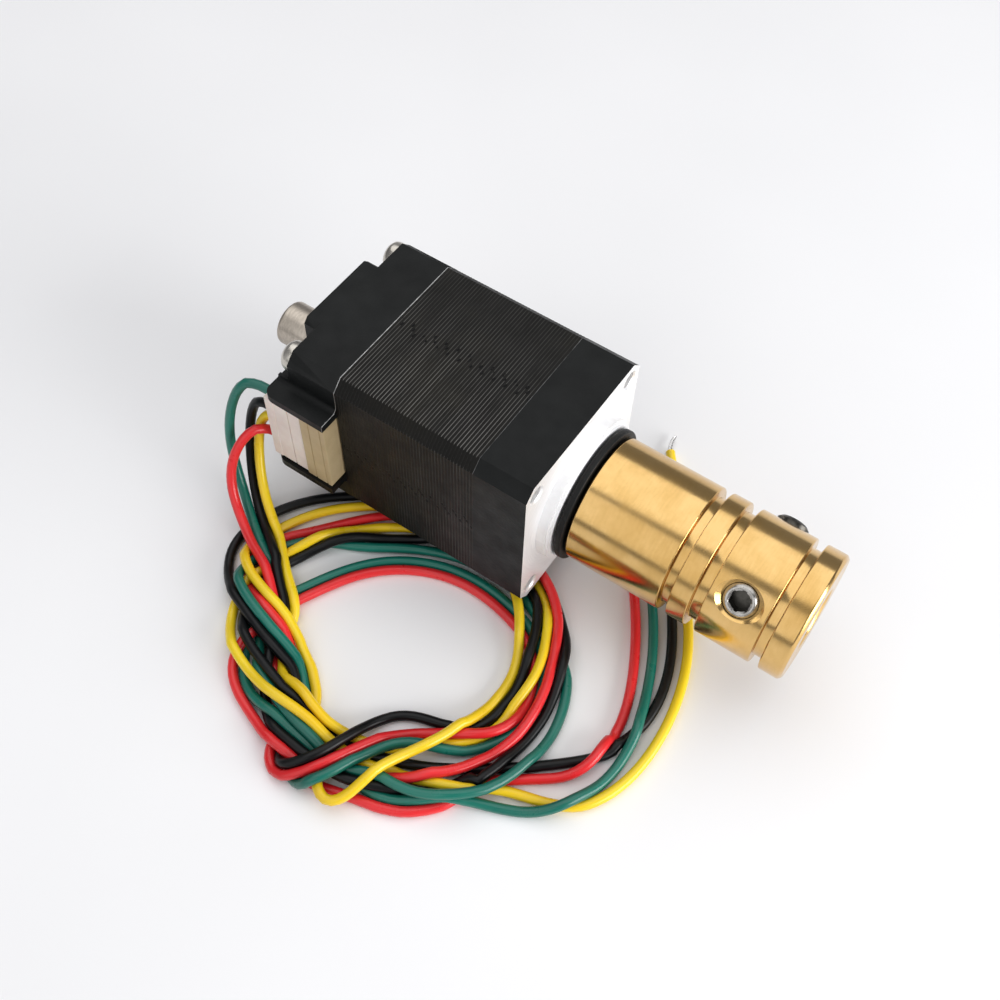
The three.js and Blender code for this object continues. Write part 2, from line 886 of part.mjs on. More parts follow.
const roundSection = (radius, sides) =>
  new THREE.Shape(Array.from({ length: sides }, (_, i) => polar(radius, (i * Math.PI * 2) / sides)));

const [bendStep, straightStep, leadSides] = [2, 3.6, 8];

function leadTube(points, stepLength) {
  const path = new THREE.CatmullRomCurve3(points.map((point) => new THREE.Vector3(...point)));
  return new THREE.ExtrudeGeometry(roundSection(wireRadius, leadSides), {
    extrudePath: path,
    steps: Math.ceil(path.getLength() / stepLength),
    bevelEnabled: false,
  });
}

for (const [colour, { fromPlug, toEnd }] of Object.entries(leadRoutes)) {
  place(`${colour}_lead_from_plug`, leadTube(fromPlug, bendStep), wirePaint[colour], root);
  place(`${colour}_lead_to_end`, leadTube(toEnd.map(onSurface), straightStep), wirePaint[colour], root);
}

// The turns of all four leads, as one flat ring that lies on the surface and under the motor's near edge.
const coil = new THREE.LatheGeometry(
  [
    [coilInnerRadius, 0],
    [coilOuterRadius, 0],
    [coilOuterRadius, coilHeight],
    [coilInnerRadius, coilHeight],
    [coilInnerRadius, 0],
  ].map(([r, h]) => new THREE.Vector2(r, h)),
  coilSteps,
);
coil.rotateX(Math.PI / 2);
place("lead_coil", coil, wirePaint.yellow, root).position.set(...coilCentre, restHeight);

export default root;
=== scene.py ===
"""Looks for the stepper motor with a brass sleeve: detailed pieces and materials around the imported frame."""

import math

import bmesh
import bpy
import numpy as np
from mathutils import Matrix, Vector


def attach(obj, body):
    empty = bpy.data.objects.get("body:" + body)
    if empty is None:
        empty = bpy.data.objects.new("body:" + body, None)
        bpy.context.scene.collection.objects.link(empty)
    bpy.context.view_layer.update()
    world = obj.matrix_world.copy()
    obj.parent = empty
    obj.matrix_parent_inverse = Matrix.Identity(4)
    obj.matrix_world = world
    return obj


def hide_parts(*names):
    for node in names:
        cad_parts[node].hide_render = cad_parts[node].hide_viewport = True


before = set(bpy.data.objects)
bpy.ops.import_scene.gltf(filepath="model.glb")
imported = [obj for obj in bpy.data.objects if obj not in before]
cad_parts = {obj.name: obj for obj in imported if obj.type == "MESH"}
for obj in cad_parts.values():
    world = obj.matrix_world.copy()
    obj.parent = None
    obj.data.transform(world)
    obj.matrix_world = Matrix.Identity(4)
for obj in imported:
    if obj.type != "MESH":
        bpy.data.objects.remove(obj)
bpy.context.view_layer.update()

MM = 0.001

# Driving dimensions in mm. X runs along the shaft and out of the mounting face, which is at 0. Places in a
# section across the shaft are (y, z) from the shaft's axis.
AXIS_Z = 12.5  # shaft axis above the origin
FLOOR = -4.8  # the surface that everything lies on
HALF = 14.0  # half the side of the motor's body
CHAMFER = 1.7  # along the body's four long edges
STACK_FRONT = -8.35
SHEETS = 45
PITCH = 0.507  # from one lamination to the next
STACK_REAR = STACK_FRONT - SHEETS * PITCH
REAR_CORNER = STACK_REAR - 8.2  # the rear bell's corners, which the screw heads stand on
REAR_END = REAR_CORNER - 2.35  # the rear bell's boss
PLUG_REAR = REAR_END - 0.4
BOSS_HALF = 7.2  # half the width of each arm of the cross-shaped boss
SCREW_PLACES = [(-11.5, 11.5), (11.5, 11.5), (11.5, -11.5), (-11.5, -11.5)]
SHAFT_R = 3.5
SHAFT_REAR, SHAFT_FRONT = -52.3, 20.0
SLEEVE_R = 9.4
SLEEVE_START, SLEEVE_END = 3.6, 37.0
GROOVES = [(18.3, 19.7), (22.5, 24.1), (32.3, 33.7)]
GROOVE_R = 8.1
SET_X = 28.2
SET_ANGLES = (139.5, 19.5)  # degrees from +Y towards +Z
SET_R = 2.35
SLOT_HALF = 7.0  # the connector slot, between two walls
SLOT_WALL = 1.2
SLOT_DEPTH = -12.6
WALL_REACH = -17.3
PIN_HEIGHTS = [-5, -3, -1, 1, 3, 5]
PIN_Y = -14.8
WIRE_R = 0.75
PIT_PITCH = 1.9  # between the small dark pits along the middle of each side of the stack


def placed(name, data):
    thing = bpy.data.objects.new(name, data)
    bpy.context.scene.collection.objects.link(thing)
    return thing


# ---- node helpers ----
def shader(name):
    material = bpy.data.materials.new(name)
    material.use_nodes = True
    material.node_tree.nodes.clear()
    surface = add(material, "BsdfPrincipled")
    add(material, "OutputMaterial", Surface=surface.outputs[0])
    return material, surface


def add(material, kind, *positional, **inputs):
    """Adds a shader node; attributes of the node are given as a leading dict, sockets by name or position."""
    node = material.node_tree.nodes.new("ShaderNode" + kind)
    if positional and isinstance(positional[0], dict):
        for key, value in positional[0].items():
            setattr(node, key, value)
        positional = positional[1:]
    named = {key.replace("_", " "): value for key, value in inputs.items()}
    for key, value in [*enumerate(positional), *named.items()]:
        if value is None:
            continue
        socket = node.inputs[key]
        if isinstance(value, bpy.types.NodeSocket):
            material.node_tree.links.new(value, socket)
        else:
            socket.default_value = value
    return node


def link(material, source, node, socket):
    material.node_tree.links.new(source, node.inputs[socket])


def coords(material, scale=(1, 1, 1)):
    where = add(material, "TexCoord").outputs["Object"]
    return add(material, "Mapping", Vector=where, Scale=scale).outputs[0]


def noise(material, where, scale, detail=3.0, roughness=0.55):
    node = add(material, "TexNoise", Vector=where, Scale=scale, Detail=detail, Roughness=roughness)
    return node.outputs["Fac"]


def ramp(material, value, stops):
    node = add(material, "ValToRGB", Fac=value)
    elements = node.color_ramp.elements
    while len(elements) < len(stops):
        elements.new(0.5)
    for element, (position, colour) in zip(elements, stops):
        element.position = position
        element.color = (*colour, 1)
    return node.outputs["Color"]


def spread(material, value, low, high, to_low, to_high):
    node = add(material, "MapRange", Value=value)
    for key, number in (("From Min", low), ("From Max", high), ("To Min", to_low), ("To Max", to_high)):
        node.inputs[key].default_value = number
    return node.outputs["Result"]


def maths(material, kind, a, b=None):
    return add(material, "Math", {"operation": kind}, a, b).outputs[0]


def plus(material, a, b):
    return maths(material, "ADD", a, b)


def minus(material, a, b):
    return maths(material, "SUBTRACT", a, b)


def times(material, a, b):
    return maths(material, "MULTIPLY", a, b)


def hypotenuse(material, a, b):
    return maths(material, "SQRT", plus(material, times(material, a, a), times(material, b, b)))


def bump(material, height, distance, strength=1.0, normal=None):
    node = add(material, "Bump", Height=height, Distance=distance, Strength=strength, Normal=normal)
    return node.outputs["Normal"]


def blend_colours(material, share, first, second):
    """The first colour, an output, mixed with the second, a plain colour, by the share."""
    node = add(material, "Mix", {"data_type": "RGBA"}, share)
    link(material, first, node, 6)
    node.inputs[7].default_value = (*second, 1)
    return node.outputs[2]


def split(material, where):
    node = add(material, "SeparateXYZ", Vector=where)
    return node.outputs[0], node.outputs[1], node.outputs[2]


# ---- materials ----
def shaft_polar(material):
    """Distance from the shaft's axis, and the angle about it, from object coordinates in metres."""
    x, y, z = split(material, add(material, "TexCoord").outputs["Object"])
    height = minus(material, z, AXIS_Z * MM)
    return x, hypotenuse(material, y, height), maths(material, "ARCTAN2", height, y)


def painted_black(name, base, rough, grain=0.00004, brown=None, sheets=False):
    """Satin black paint: fine grain and slight clouding; on the stack, its sheet edges are lighter: worn paint
    and painted highlight.
    """
    m, s = shader(name)
    where = coords(m)
    cloud = noise(m, where, 90, 4)
    dark = tuple(c * 0.7 for c in base)
    light = brown or tuple(c * 1.45 for c in base)
    colour = ramp(m, cloud, [(0.3, dark), (0.5, base), (0.72, light)])
    normal = bump(m, noise(m, where, 2600, 2), grain, 0.6)
    if sheets:
        colour, normal = sheet_edges(m, colour, normal)
    link(m, colour, s, "Base Color")
    link(m, spread(m, noise(m, where, 300, 3), 0.3, 0.7, rough - 0.07, rough + 0.09), s, "Roughness")
    link(m, normal, s, "Normal")
    s.inputs["Specular IOR Level"].default_value = 0.185
    return m


def sheet_edges(m, colour, normal):
    """Thin light lines between the stack's sheets, worn paint and painted highlight, strongest where light
    catches them on the near half of its top and at the front of its sides, and dark pits.
    """
    x, y, z = split(m, add(m, "TexCoord").outputs["Object"])
    height = minus(m, z, AXIS_Z * MM)
    flat = (HALF - 0.15) * MM
    on_top = maths(m, "GREATER_THAN", maths(m, "ABSOLUTE", height), flat)
    on_side = maths(m, "GREATER_THAN", maths(m, "ABSOLUTE", y), flat)
    # painted highlight: the light lines are made strongest on the near half of the top and towards the front
    # of the sides
    top_sheen_strength = times(m, on_top, spread(m, y, -0.012, 0.008, 1, 0.22))
    side_sheen_strength = times(m, on_side, spread(m, x, -0.027, -0.012, 0.12, 0.4))
    sheet = maths(m, "FRACT", maths(m, "DIVIDE", minus(m, STACK_FRONT * MM, x), PITCH * MM))
    off = maths(m, "ABSOLUTE", minus(m, sheet, 0.5))
    # noise that breaks up the light lines, as worn paint and uneven painted highlight
    wear_and_sheen_breakup = noise(m, coords(m, (1, 0.18, 0.18)), 420, 4, 0.65)
    line = times(m, spread(m, off, 0.4, 0.46, 0, 1), spread(m, wear_and_sheen_breakup, 0.38, 0.6, 0.3, 1))
    line = times(m, line, plus(m, top_sheen_strength, side_sheen_strength))
    # the light grey lines, partly worn paint and partly painted highlight
    wear_and_sheen_lined = blend_colours(m, line, colour, (0.17, 0.165, 0.155))
    across = plus(m, times(m, on_top, y), times(m, on_side, height))
    steps = maths(m, "DIVIDE", x, PIT_PITCH * MM)
    pit = 0.0
    for start, row in ((0.0, -0.75), (0.36, 0.05), (0.62, 0.7)):
        step = maths(m, "FRACT", plus(m, steps, start))
        along = times(m, minus(m, step, 0.5), PIT_PITCH * MM)
        aside = times(m, minus(m, across, row * MM), 0.6)
        pit = maths(m, "MAXIMUM", pit, spread(m, hypotenuse(m, along, aside), 0.00017, 0.00024, 1, 0))
    missing = spread(m, noise(m, coords(m), 900, 1), 0.4, 0.46, 0, 1)
    pit = times(m, times(m, pit, missing), plus(m, on_top, on_side))
    pitted = blend_colours(m, pit, wear_and_sheen_lined, (0.0006, 0.0006, 0.0006))
    return pitted, bump(m, minus(m, 1.0, pit), 0.00012, 1.0, normal)


def machined_face(name):
    """Bare aluminium, faced in a lathe: fine rings about the shaft."""
    m, s = shader(name)
    _, radius, angle = shaft_polar(m)
    ringed = add(m, "CombineXYZ", X=radius, Y=times(m, angle, 0.0006)).outputs[0]
    rings = noise(m, ringed, 5200, 2)
    link(m, ramp(m, rings, [(0.3, (0.86, 0.86, 0.87)), (0.7, (0.95, 0.95, 0.95))]), s, "Base Color")
    link(m, spread(m, noise(m, coords(m), 260, 3), 0.3, 0.7, 0.38, 0.46), s, "Roughness")
    link(m, bump(m, rings, 0.000012, 0.4), s, "Normal")
    s.inputs["Metallic"].default_value = 0.5
    return m


def turned_metal(name, low, high, rough, rings_per_metre=3800, marks=0.00002, streaks=0.45):
    """Turned metal: tool marks round the shaft, faint stains, and small nicks."""
    m, s = shader(name)
    x, radius, angle = shaft_polar(m)
    along = add(m, "CombineXYZ", X=x, Y=times(m, angle, 0.0009), Z=radius).outputs[0]
    marks_field = noise(m, along, rings_per_metre, 2)
    cloud = noise(m, coords(m), 130, 5, 0.6)
    streaked = times(m, marks_field, streaks)
    mix = plus(m, streaked, times(m, cloud, 1 - streaks))
    middle = tuple((a + b) / 2 for a, b in zip(low, high))
    link(m, ramp(m, mix, [(0.36, low), (0.5, middle), (0.62, high)]), s, "Base Color")
    link(m, spread(m, mix, 0.35, 0.65, rough + 0.07, rough - 0.04), s, "Roughness")
    fine = bump(m, marks_field, marks, 0.45)
    link(m, bump(m, noise(m, coords(m), 900, 3), 0.00001, 0.25, fine), s, "Normal")
    s.inputs["Metallic"].default_value = 1.0
    s.inputs["Anisotropic"].default_value = 0.25
    return m


def plain_metal(name, low, high, rough, grain=600):
    m, s = shader(name)
    where = coords(m)
    field = noise(m, where, grain, 4)
    link(m, ramp(m, field, [(0.3, low), (0.7, high)]), s, "Base Color")
    link(m, spread(m, field, 0.3, 0.7, rough - 0.06, rough + 0.08), s, "Roughness")
    link(m, bump(m, noise(m, where, grain * 3, 2), 0.00001, 0.4), s, "Normal")
    s.inputs["Metallic"].default_value = 1.0
    return m


def moulded(name, low, high, rough, translucent=0.0):
    """Moulded nylon: soft clouding, slight grain, and light that goes a little way in."""
    m, s = shader(name)
    where = coords(m)
    link(m, ramp(m, noise(m, where, 160, 4), [(0.3, low), (0.72, high)]), s, "Base Color")
    link(m, spread(m, noise(m, where, 500, 2), 0.3, 0.7, rough - 0.05, rough + 0.08), s, "Roughness")
    link(m, bump(m, noise(m, where, 1500, 3), 0.00002, 0.35), s, "Normal")
    if translucent:
        s.inputs["Subsurface Weight"].default_value = translucent
        s.inputs["Subsurface Scale"].default_value = 0.0012
    return m


def insulation(name, low, high, rough=0.3, coat=0.2):
    """Smooth silicone or PVC insulation, with slow changes of tone along the lead and a faint fine bump."""
    m, s = shader(name)
    where = coords(m)
    slow = noise(m, where, 45, 3)
    link(m, ramp(m, slow, [(0.32, low), (0.68, high)]), s, "Base Color")
    link(m, spread(m, noise(m, where, 420, 3), 0.3, 0.7, rough - 0.05, rough + 0.1), s, "Roughness")
    link(m, bump(m, noise(m, where, 1100, 3), 0.000025, 0.35), s, "Normal")
    s.inputs["Coat Weight"].default_value = coat
    s.inputs["Specular IOR Level"].default_value = 0.18 + coat
    s.inputs["Coat Roughness"].default_value = 0.2
    return m


bell_paint = painted_black("bell_paint", (0.0042, 0.005, 0.005), 0.45)
stack_paint = painted_black("stack_paint", (0.0055, 0.005, 0.004), 0.5, 0.00005, (0.011, 0.0095, 0.006), True)
face_metal = machined_face("bare_machined_face")
edge_metal = plain_metal("bare_seam_edge", (0.2, 0.2, 0.2), (0.62, 0.62, 0.61), 0.35, 900)
dull_edge = plain_metal("dull_seam_edge", (0.02, 0.02, 0.02), (0.2, 0.2, 0.2), 0.4, 700)
sleeve_brass = turned_metal("turned_brass", (0.62, 0.385, 0.128), (0.74, 0.49, 0.2), 0.18, marks=0.000007,
                            streaks=0.15)
shaft_steel = turned_metal("ground_shaft_steel", (0.4, 0.355, 0.3), (0.56, 0.5, 0.43), 0.34)
screw_nickel = plain_metal("nickel_screw", (0.5, 0.47, 0.42), (0.72, 0.69, 0.63), 0.28)
set_screw_steel = plain_metal("set_screw_steel", (0.3, 0.29, 0.27), (0.62, 0.6, 0.57), 0.26, 900)
# a near-black steel, for the inside of the sockets and for all of the second set screw
dark_steel = plain_metal("dark_set_screw_steel", (0.03, 0.028, 0.024), (0.1, 0.095, 0.085), 0.3, 900)
bearing_steel = turned_metal("bearing_steel", (0.5, 0.5, 0.5), (0.75, 0.75, 0.75), 0.18)
rotor_iron = turned_metal("rotor_iron", (0.2, 0.2, 0.2), (0.38, 0.37, 0.36), 0.36)
magnet_black = plain_metal("magnet", (0.1, 0.1, 0.1), (0.2, 0.2, 0.19), 0.45)
ring_rubber = painted_black("spacer_rubber", (0.008, 0.008, 0.008), 0.5, 0.00006)
plug_ivory = moulded("plug_nylon", (0.72, 0.62, 0.56), (0.86, 0.78, 0.72), 0.4, 0.12)
# the header's olive beige is partly its own colour and partly painted shade from the slot it sits in
header_beige = moulded("header_nylon_painted_shade", (0.4, 0.3, 0.16), (0.56, 0.45, 0.27), 0.38)
bobbin_ivory = moulded("insulator_nylon", (0.7, 0.66, 0.55), (0.82, 0.78, 0.68), 0.45)
copper = turned_metal("enamelled_copper", (0.45, 0.14, 0.05), (0.75, 0.32, 0.13), 0.22, 2600)
pin_brass = plain_metal("pin_brass", (0.7, 0.5, 0.22), (0.85, 0.66, 0.34), 0.25)
tinned = plain_metal("tinned_strands", (0.62, 0.61, 0.6), (0.85, 0.84, 0.82), 0.25, 1500)
WIRE_MATERIALS = {
    "green": insulation("insulation_green", (0.004, 0.11, 0.08), (0.008, 0.18, 0.132)),
    "black": insulation("insulation_black", (0.0015, 0.0017, 0.002), (0.004, 0.0046, 0.0055), 0.36, 0.06),
    "yellow": insulation("insulation_yellow", (0.78, 0.5, 0.008), (0.9, 0.68, 0.02)),
    "red": insulation("insulation_red", (0.62, 0.012, 0.016), (0.8, 0.03, 0.035)),
}


# ---- the four leads ----
COIL_X, COIL_Y = -10.5, -28.4
LEAD_PINS = {"green": 5, "black": 1, "yellow": -1, "red": -5}
LEAD_STARTS = (-39.2, -42.4)  # inside the plug, and straight behind it
# Each lead from the plug down to the coil, as (x, y, z).
LEADS = {
    "green": [
        (-44.8, -14.9, 17.6), (-47.0, -15.7, 17.3), (-48.6, -17.2, 15.4), (-49.0, -19.0, 11.8),
        (-48.4, -20.0, 7.0), (-46.2, -21.3, 3.4), (-43.2, -23.6, 1.0), (-39.6, -26.1, -0.2),
    ],
    "black": [
        (-44.8, -14.8, 13.5), (-47.2, -14.9, 11.4), (-48.0, -15.8, 8.2), (-47.0, -17.7, 5.6),
        (-45.2, -20.0, 3.8), (-42.2, -22.6, 1.8), (-38.6, -25.4, 0.2),
    ],
    "yellow": [
        (-44.0, -14.8, 11.3), (-45.5, -15.4, 9.2), (-45.4, -16.7, 6.8), (-44.2, -19.1, 4.3),
        (-41.4, -21.6, 2.8), (-37.6, -24.4, 1.6), (-33.2, -27.8, 0.8),
    ],
    "red": [
        (-43.9, -16.0, 9.1), (-45.6, -19.0, 10.2), (-46.9, -21.8, 9.3), (-46.5, -23.5, 7.0),
        (-44.1, -24.8, 4.4), (-40.8, -26.8, 2.7), (-37.0, -28.9, 1.3),
    ],
}
# Each lead's turns, as (degrees round the coil, radius, level above the surface).
TURNS = {
    "yellow": [
        (189, 19.4, 2.2), (200, 17.6, 1.2), (212, 16.4, 0.3), (224, 16.2, 0), (240, 17.2, 2), (260, 15.9, 2),
        (280, 15.8, 1), (300, 15.6, 0), (320, 15, 0), (340, 17.2, 0), (360, 19.1, 0), (380, 19.6, 0),
        (400, 20.8, 0), (420, 21.8, 0), (440, 22.3, 0), (460, 22.8, 0), (480, 23.6, 0), (500, 25, 0),
        (520, 27.2, 0), (544, 27.8, 1), (551, 23.2, 3), (561, 17.9, 4), (584, 14.4, 2), (600, 14.6, 0),
        (618, 16.5, 0), (629, 20, 0), (637, 23.8, 0), (640, 24.6, 1), (644, 24.2, 2), (649, 22.7, 3),
        (656, 20, 4), (665, 17.4, 4), (681, 16.1, 3), (698, 15.7, 2), (720, 15.6, 1), (740, 16.5, 1),
        (760, 16.8, 1), (780, 18.2, 0), (800, 18.9, 0), (820, 19.4, 0), (840, 20.1, 0), (860, 20.9, 0),
        (880, 22, 1), (900, 24.3, 1), (920, 25.8, 2), (940, 22.9, 1), (960, 19.5, 2), (980, 18, 2),
        (1000, 17.9, 1), (1020, 18.9, 0), (1040, 21.6, 0),
    ],
    "red": [
        (186, 23.4, 2.4), (194, 20.4, 1.2), (206, 18.9, 0.3), (222, 18, 0), (240, 17.8, 2), (260, 17.3, 2),
        (280, 18.5, 1), (300, 20.3, 1), (320, 20.6, 1), (340, 20.9, 1), (360, 21.2, 1), (380, 21.4, 1),
        (400, 22.6, 1), (420, 23.4, 1), (440, 23.3, 0), (460, 23, 0), (480, 22.8, 0), (500, 22.8, 0),
        (520, 23.9, 0), (540, 26.4, 1), (549, 25.8, 1), (556, 22.4, 2), (565, 18.9, 2), (580, 15.9, 1),
        (600, 17.4, 0), (612, 21.6, 0), (617, 23.6, 1), (623, 24.6, 2), (629, 23.9, 3), (635, 21.7, 3),
        (644, 17.9, 3), (655, 14.7, 3), (672, 13.2, 2), (686, 13.9, 2), (700, 17.5, 1), (720, 19.2, 0),
        (740, 19.6, 0), (760, 17.6, 0), (780, 15.2, 0), (800, 14, 0), (820, 13.1, 0), (840, 12.9, 0),
        (860, 13.2, 0), (880, 14.3, 0), (900, 15.9, 0), (920, 19.4, 0), (940, 24.4, 1), (960, 22.8, 2),
        (980, 21.6, 1), (1000, 22.3, 0), (1020, 23, 0), (1040, 24.4, 0), (1060, 25.2, 0),
    ],
    "green": [
        (183, 24.6, 1.6), (192, 21.2, 0.6), (206, 19.6, 0), (222, 18.6, 0), (240, 18.1, 2), (260, 18.5, 2),
        (280, 19.6, 1), (300, 21.2, 1), (320, 23.6, 1), (340, 24.9, 1), (360, 25, 0), (380, 24, 0),
        (400, 21.8, 0), (420, 19.6, 0), (440, 17.9, 0), (460, 16.9, 0), (480, 16.5, 0), (500, 17.6, 0),
        (520, 21.2, 0), (540, 27.7, 1), (549, 26.5, 2), (556, 24.1, 3), (565, 19.8, 3), (577, 16.4, 2),
        (595, 14.9, 0), (610, 17.5, 0), (622, 22, 0), (632, 24.1, 1), (637, 23.6, 2), (641, 21.4, 3),
        (646, 18.9, 3), (656, 16, 3), (669, 14.9, 2), (679, 15.2, 1), (700, 18.6, 1), (720, 20.3, 0),
        (740, 20.8, 0), (760, 19, 0), (780, 16.6, 0), (800, 15.4, 0), (820, 14.6, 0), (840, 14.4, 0),
        (860, 14.8, 0), (880, 15.7, 0), (900, 17.3, 0), (920, 21, 0), (940, 23, 0), (960, 21.5, 2),
        (980, 20, 2), (1000, 19.7, 0), (1020, 21, 0), (1040, 23.2, 0),
    ],
    "black": [
        (182, 23, 1.8), (193, 19.8, 0.8), (206, 18.4, 0), (222, 19, 0), (240, 20.8, 1), (260, 21.1, 1),
        (280, 21.3, 1), (300, 20.9, 0), (320, 22, 0), (340, 22.6, 0), (360, 22.5, 0), (380, 22.9, 0),
        (400, 23.1, 0), (420, 23.3, 0), (440, 23.6, 0), (460, 24.2, 0), (480, 25.3, 0), (500, 27, 0),
        (520, 30, 0), (540, 31.4, 0), (552, 27.8, 2), (560, 24.1, 3), (571, 19.8, 3), (589, 16.9, 1),
        (604, 16.4, 0), (615, 19.5, 0), (625, 23, 1), (630, 21.8, 2), (634, 19.2, 3), (639, 16, 4),
        (648, 12.4, 4), (658, 10.6, 3), (670, 10.2, 3), (682, 11.4, 3), (694, 14, 2), (704, 16.2, 1),
        (720, 17.6, 1), (740, 17.8, 1), (760, 19.1, 1), (780, 21.2, 1), (800, 20.6, 1), (820, 19.4, 1),
        (840, 18.4, 1), (860, 18.4, 0), (880, 20.8, 1), (900, 23.1, 1), (920, 24.1, 1), (940, 20.7, 1),
        (960, 17.9, 2), (980, 16.4, 2), (1000, 15.9, 1), (1020, 17.1, 0), (1040, 18.7, 0),
    ],
}
# Each lead from the coil to its end behind the sleeve, as (x, y, level above the surface).
TAILS = {
    "red": [
        (15, -33.8, 1), (17.3, -32.9, 1), (19.2, -31.6, 1), (21.2, -28.7, 0.6), (21.8, -24.3, 0),
        (21, -19.1, 0), (19.3, -14, 0), (16.8, -9, 0), (12.8, -2.4, 0), (8, 3.8, 0), (4.8, 8.6, 0),
    ],
    "black": [
        (15.3, -31.8, 0), (17.6, -30.2, 0), (19.6, -27.7, 0), (21.9, -25.2, 0), (23.3, -22, 0),
        (24.1, -18, 0), (23.9, -14.4, 0), (22.4, -8.6, 0), (19.2, -2.6, 0), (15.6, 3, 0), (11.4, 8.4, 0),
        (7.4, 14.2, 0), (4.6, 18, 0),
    ],
    "green": [
        (13, -40.2, 0), (15.7, -39.6, 0), (18.6, -37.8, 0), (21.6, -34.6, 1), (23.6, -30.4, 1),
        (24.2, -25, 1), (23.4, -19.2, 0.8), (21.9, -14.2, 0), (19.4, -8.4, 0), (16.4, -3.2, 0),
        (12.4, 2.6, 0), (8.6, 8.6, 0), (5.6, 13, 0), (3.2, 15.8, 0),
    ],
    "yellow": [
        (13.5, -36.8, 0), (16.3, -36.8, 0), (19.6, -36, 0), (22.8, -33.6, 0), (25, -30.4, 0),
        (26.5, -26, 0), (26.9, -20.6, 0), (26.2, -13.6, 0), (23.8, -6, 0), (19.4, 1.4, 0), (14.6, 8, 0),
        (10.6, 14.2, 0), (6.6, 19.8, 0), (3.6, 23.8, 0),
    ],
}
LEVEL = 1.9  # from one level of the routes to the next
LEVEL_SHIFT = {"yellow": 0.9, "black": 0.6, "green": 0.3, "red": 0.0}  # keeps two leads out of one place
SAMPLE = 1.1  # between the points of a lead
LYING = FLOOR + WIRE_R + 0.05  # the middle of a lead on the surface, before it settles

# How the leads settle.
ROUNDS = 300
PASSES = 6  # of contact and length in each round
SEARCH_EVERY = 6  # rounds between two searches for points that may touch
SEARCH_MARGIN = 1.2
SMOOTHING = 6  # times that each route is smoothed before the first round
HELD = 8  # points that stay in the plug's hole and straight behind it
STIFFNESS = 1.4
GAP = 1.53  # between the middles of two leads that touch
OWN_POINTS = 6  # points along one lead that are too near each other to count as touching
SAME_LEVEL = 0.25
PULL, LATE_PULL, LATE = 0.1, 0.06, 0.6  # share of the way back to the route, and when it weakens
SINK = 0.03  # in each round, by weight
MOST_PUSH, OVERSHOOT = 0.5, 1.5
LENGTH_SHARE = 0.25
LOWEST = FLOOR + WIRE_R + 0.02
MOTOR_X, MOTOR_Y, MOTOR_BOTTOM = (-42.6, 0.8), 14.9, -1.5  # where leads pass under the motor
UNDER_MOTOR = MOTOR_BOTTOM - WIRE_R - 0.05
UNDER_BELOW = 3.0  # a lead higher than this goes past the motor, not under it
TINY = 1e-9


def between(a, b, start, end, t):
    return (end - t) / (end - start) * a + (t - start) / (end - start) * b


def spline(points):
    """A centripetal Catmull-Rom curve through the points, sampled evenly."""
    points = np.array(points, float)
    ends = np.vstack([2 * points[0] - points[1], points, 2 * points[-1] - points[-2]])
    out = []
    for a, b, c, d in zip(ends, ends[1:], ends[2:], ends[3:]):
        t1 = np.linalg.norm(b - a) ** 0.5
        t2 = t1 + np.linalg.norm(c - b) ** 0.5
        t3 = t2 + np.linalg.norm(d - c) ** 0.5
        t = np.linspace(t1, t2, 12, endpoint=False)[:, None]
        a1, a2, a3 = between(a, b, 0, t1, t), between(b, c, t1, t2, t), between(c, d, t2, t3, t)
        out.append(between(between(a1, a2, 0, t2, t), between(a2, a3, t1, t3, t), t1, t2, t))
    out = np.vstack(out + [points[-1:]])
    along = np.concatenate([[0], np.cumsum(np.linalg.norm(np.diff(out, axis=0), axis=1))])
    wanted = np.linspace(0, along[-1], int(round(along[-1] / SAMPLE)) + 1)
    return np.stack([np.interp(wanted, along, out[:, k]) for k in range(3)], 1)


def lead_route(colour):
    points = [(x, PIN_Y, AXIS_Z + LEAD_PINS[colour]) for x in LEAD_STARTS] + LEADS[colour]
    for degrees, radius, level in TURNS[colour]:
        angle = math.radians(degrees)
        points.append((COIL_X + radius * math.cos(angle), COIL_Y + radius * math.sin(angle),
                       LYING + level * LEVEL + LEVEL_SHIFT[colour]))
    points += [(x, y, LYING + level * LEVEL) for x, y, level in TAILS[colour]]
    return spline(points)


def bending_solver(count):
    """The matrix that evens out a lead of so many points as its stiffness does, with the first ones held."""
    rows = np.arange(count - 2)
    second = np.zeros((count - 2, count))
    for offset, factor in enumerate((1, -2, 1)):
        second[rows, rows + offset] = factor
    system = np.eye(count) + STIFFNESS * second.T @ second
    system[:HELD] = np.eye(count)[:HELD]
    return np.linalg.inv(system)


def close_pairs(p, home, strand):
    """Pairs of points that may touch, and for each 1 if the other lies over the first, or -1 if under it."""
    near = p.astype(np.float32)
    square = (near**2).sum(1)
    first, other = np.nonzero(square[:, None] + square[None] - 2 * near @ near.T < (GAP + SEARCH_MARGIN) ** 2)
    keep = (other > first) & ((strand[first] != strand[other]) | (other - first > OWN_POINTS))
    first, other = first[keep], other[keep]
    rise = p[other, 2] - p[first, 2]
    order = np.sign(rise)
    level = np.abs(rise) < SAME_LEVEL
    order[level] = np.sign(home[other, 2] - home[first, 2] + 1e-6)[level]
    return first, other, order


def directions(p):
    way = np.zeros_like(p)
    way[1:-1] = p[2:] - p[:-2]
    way[0], way[-1] = way[1], way[-2]
    return way / (np.linalg.norm(way, axis=1, keepdims=True) + TINY)


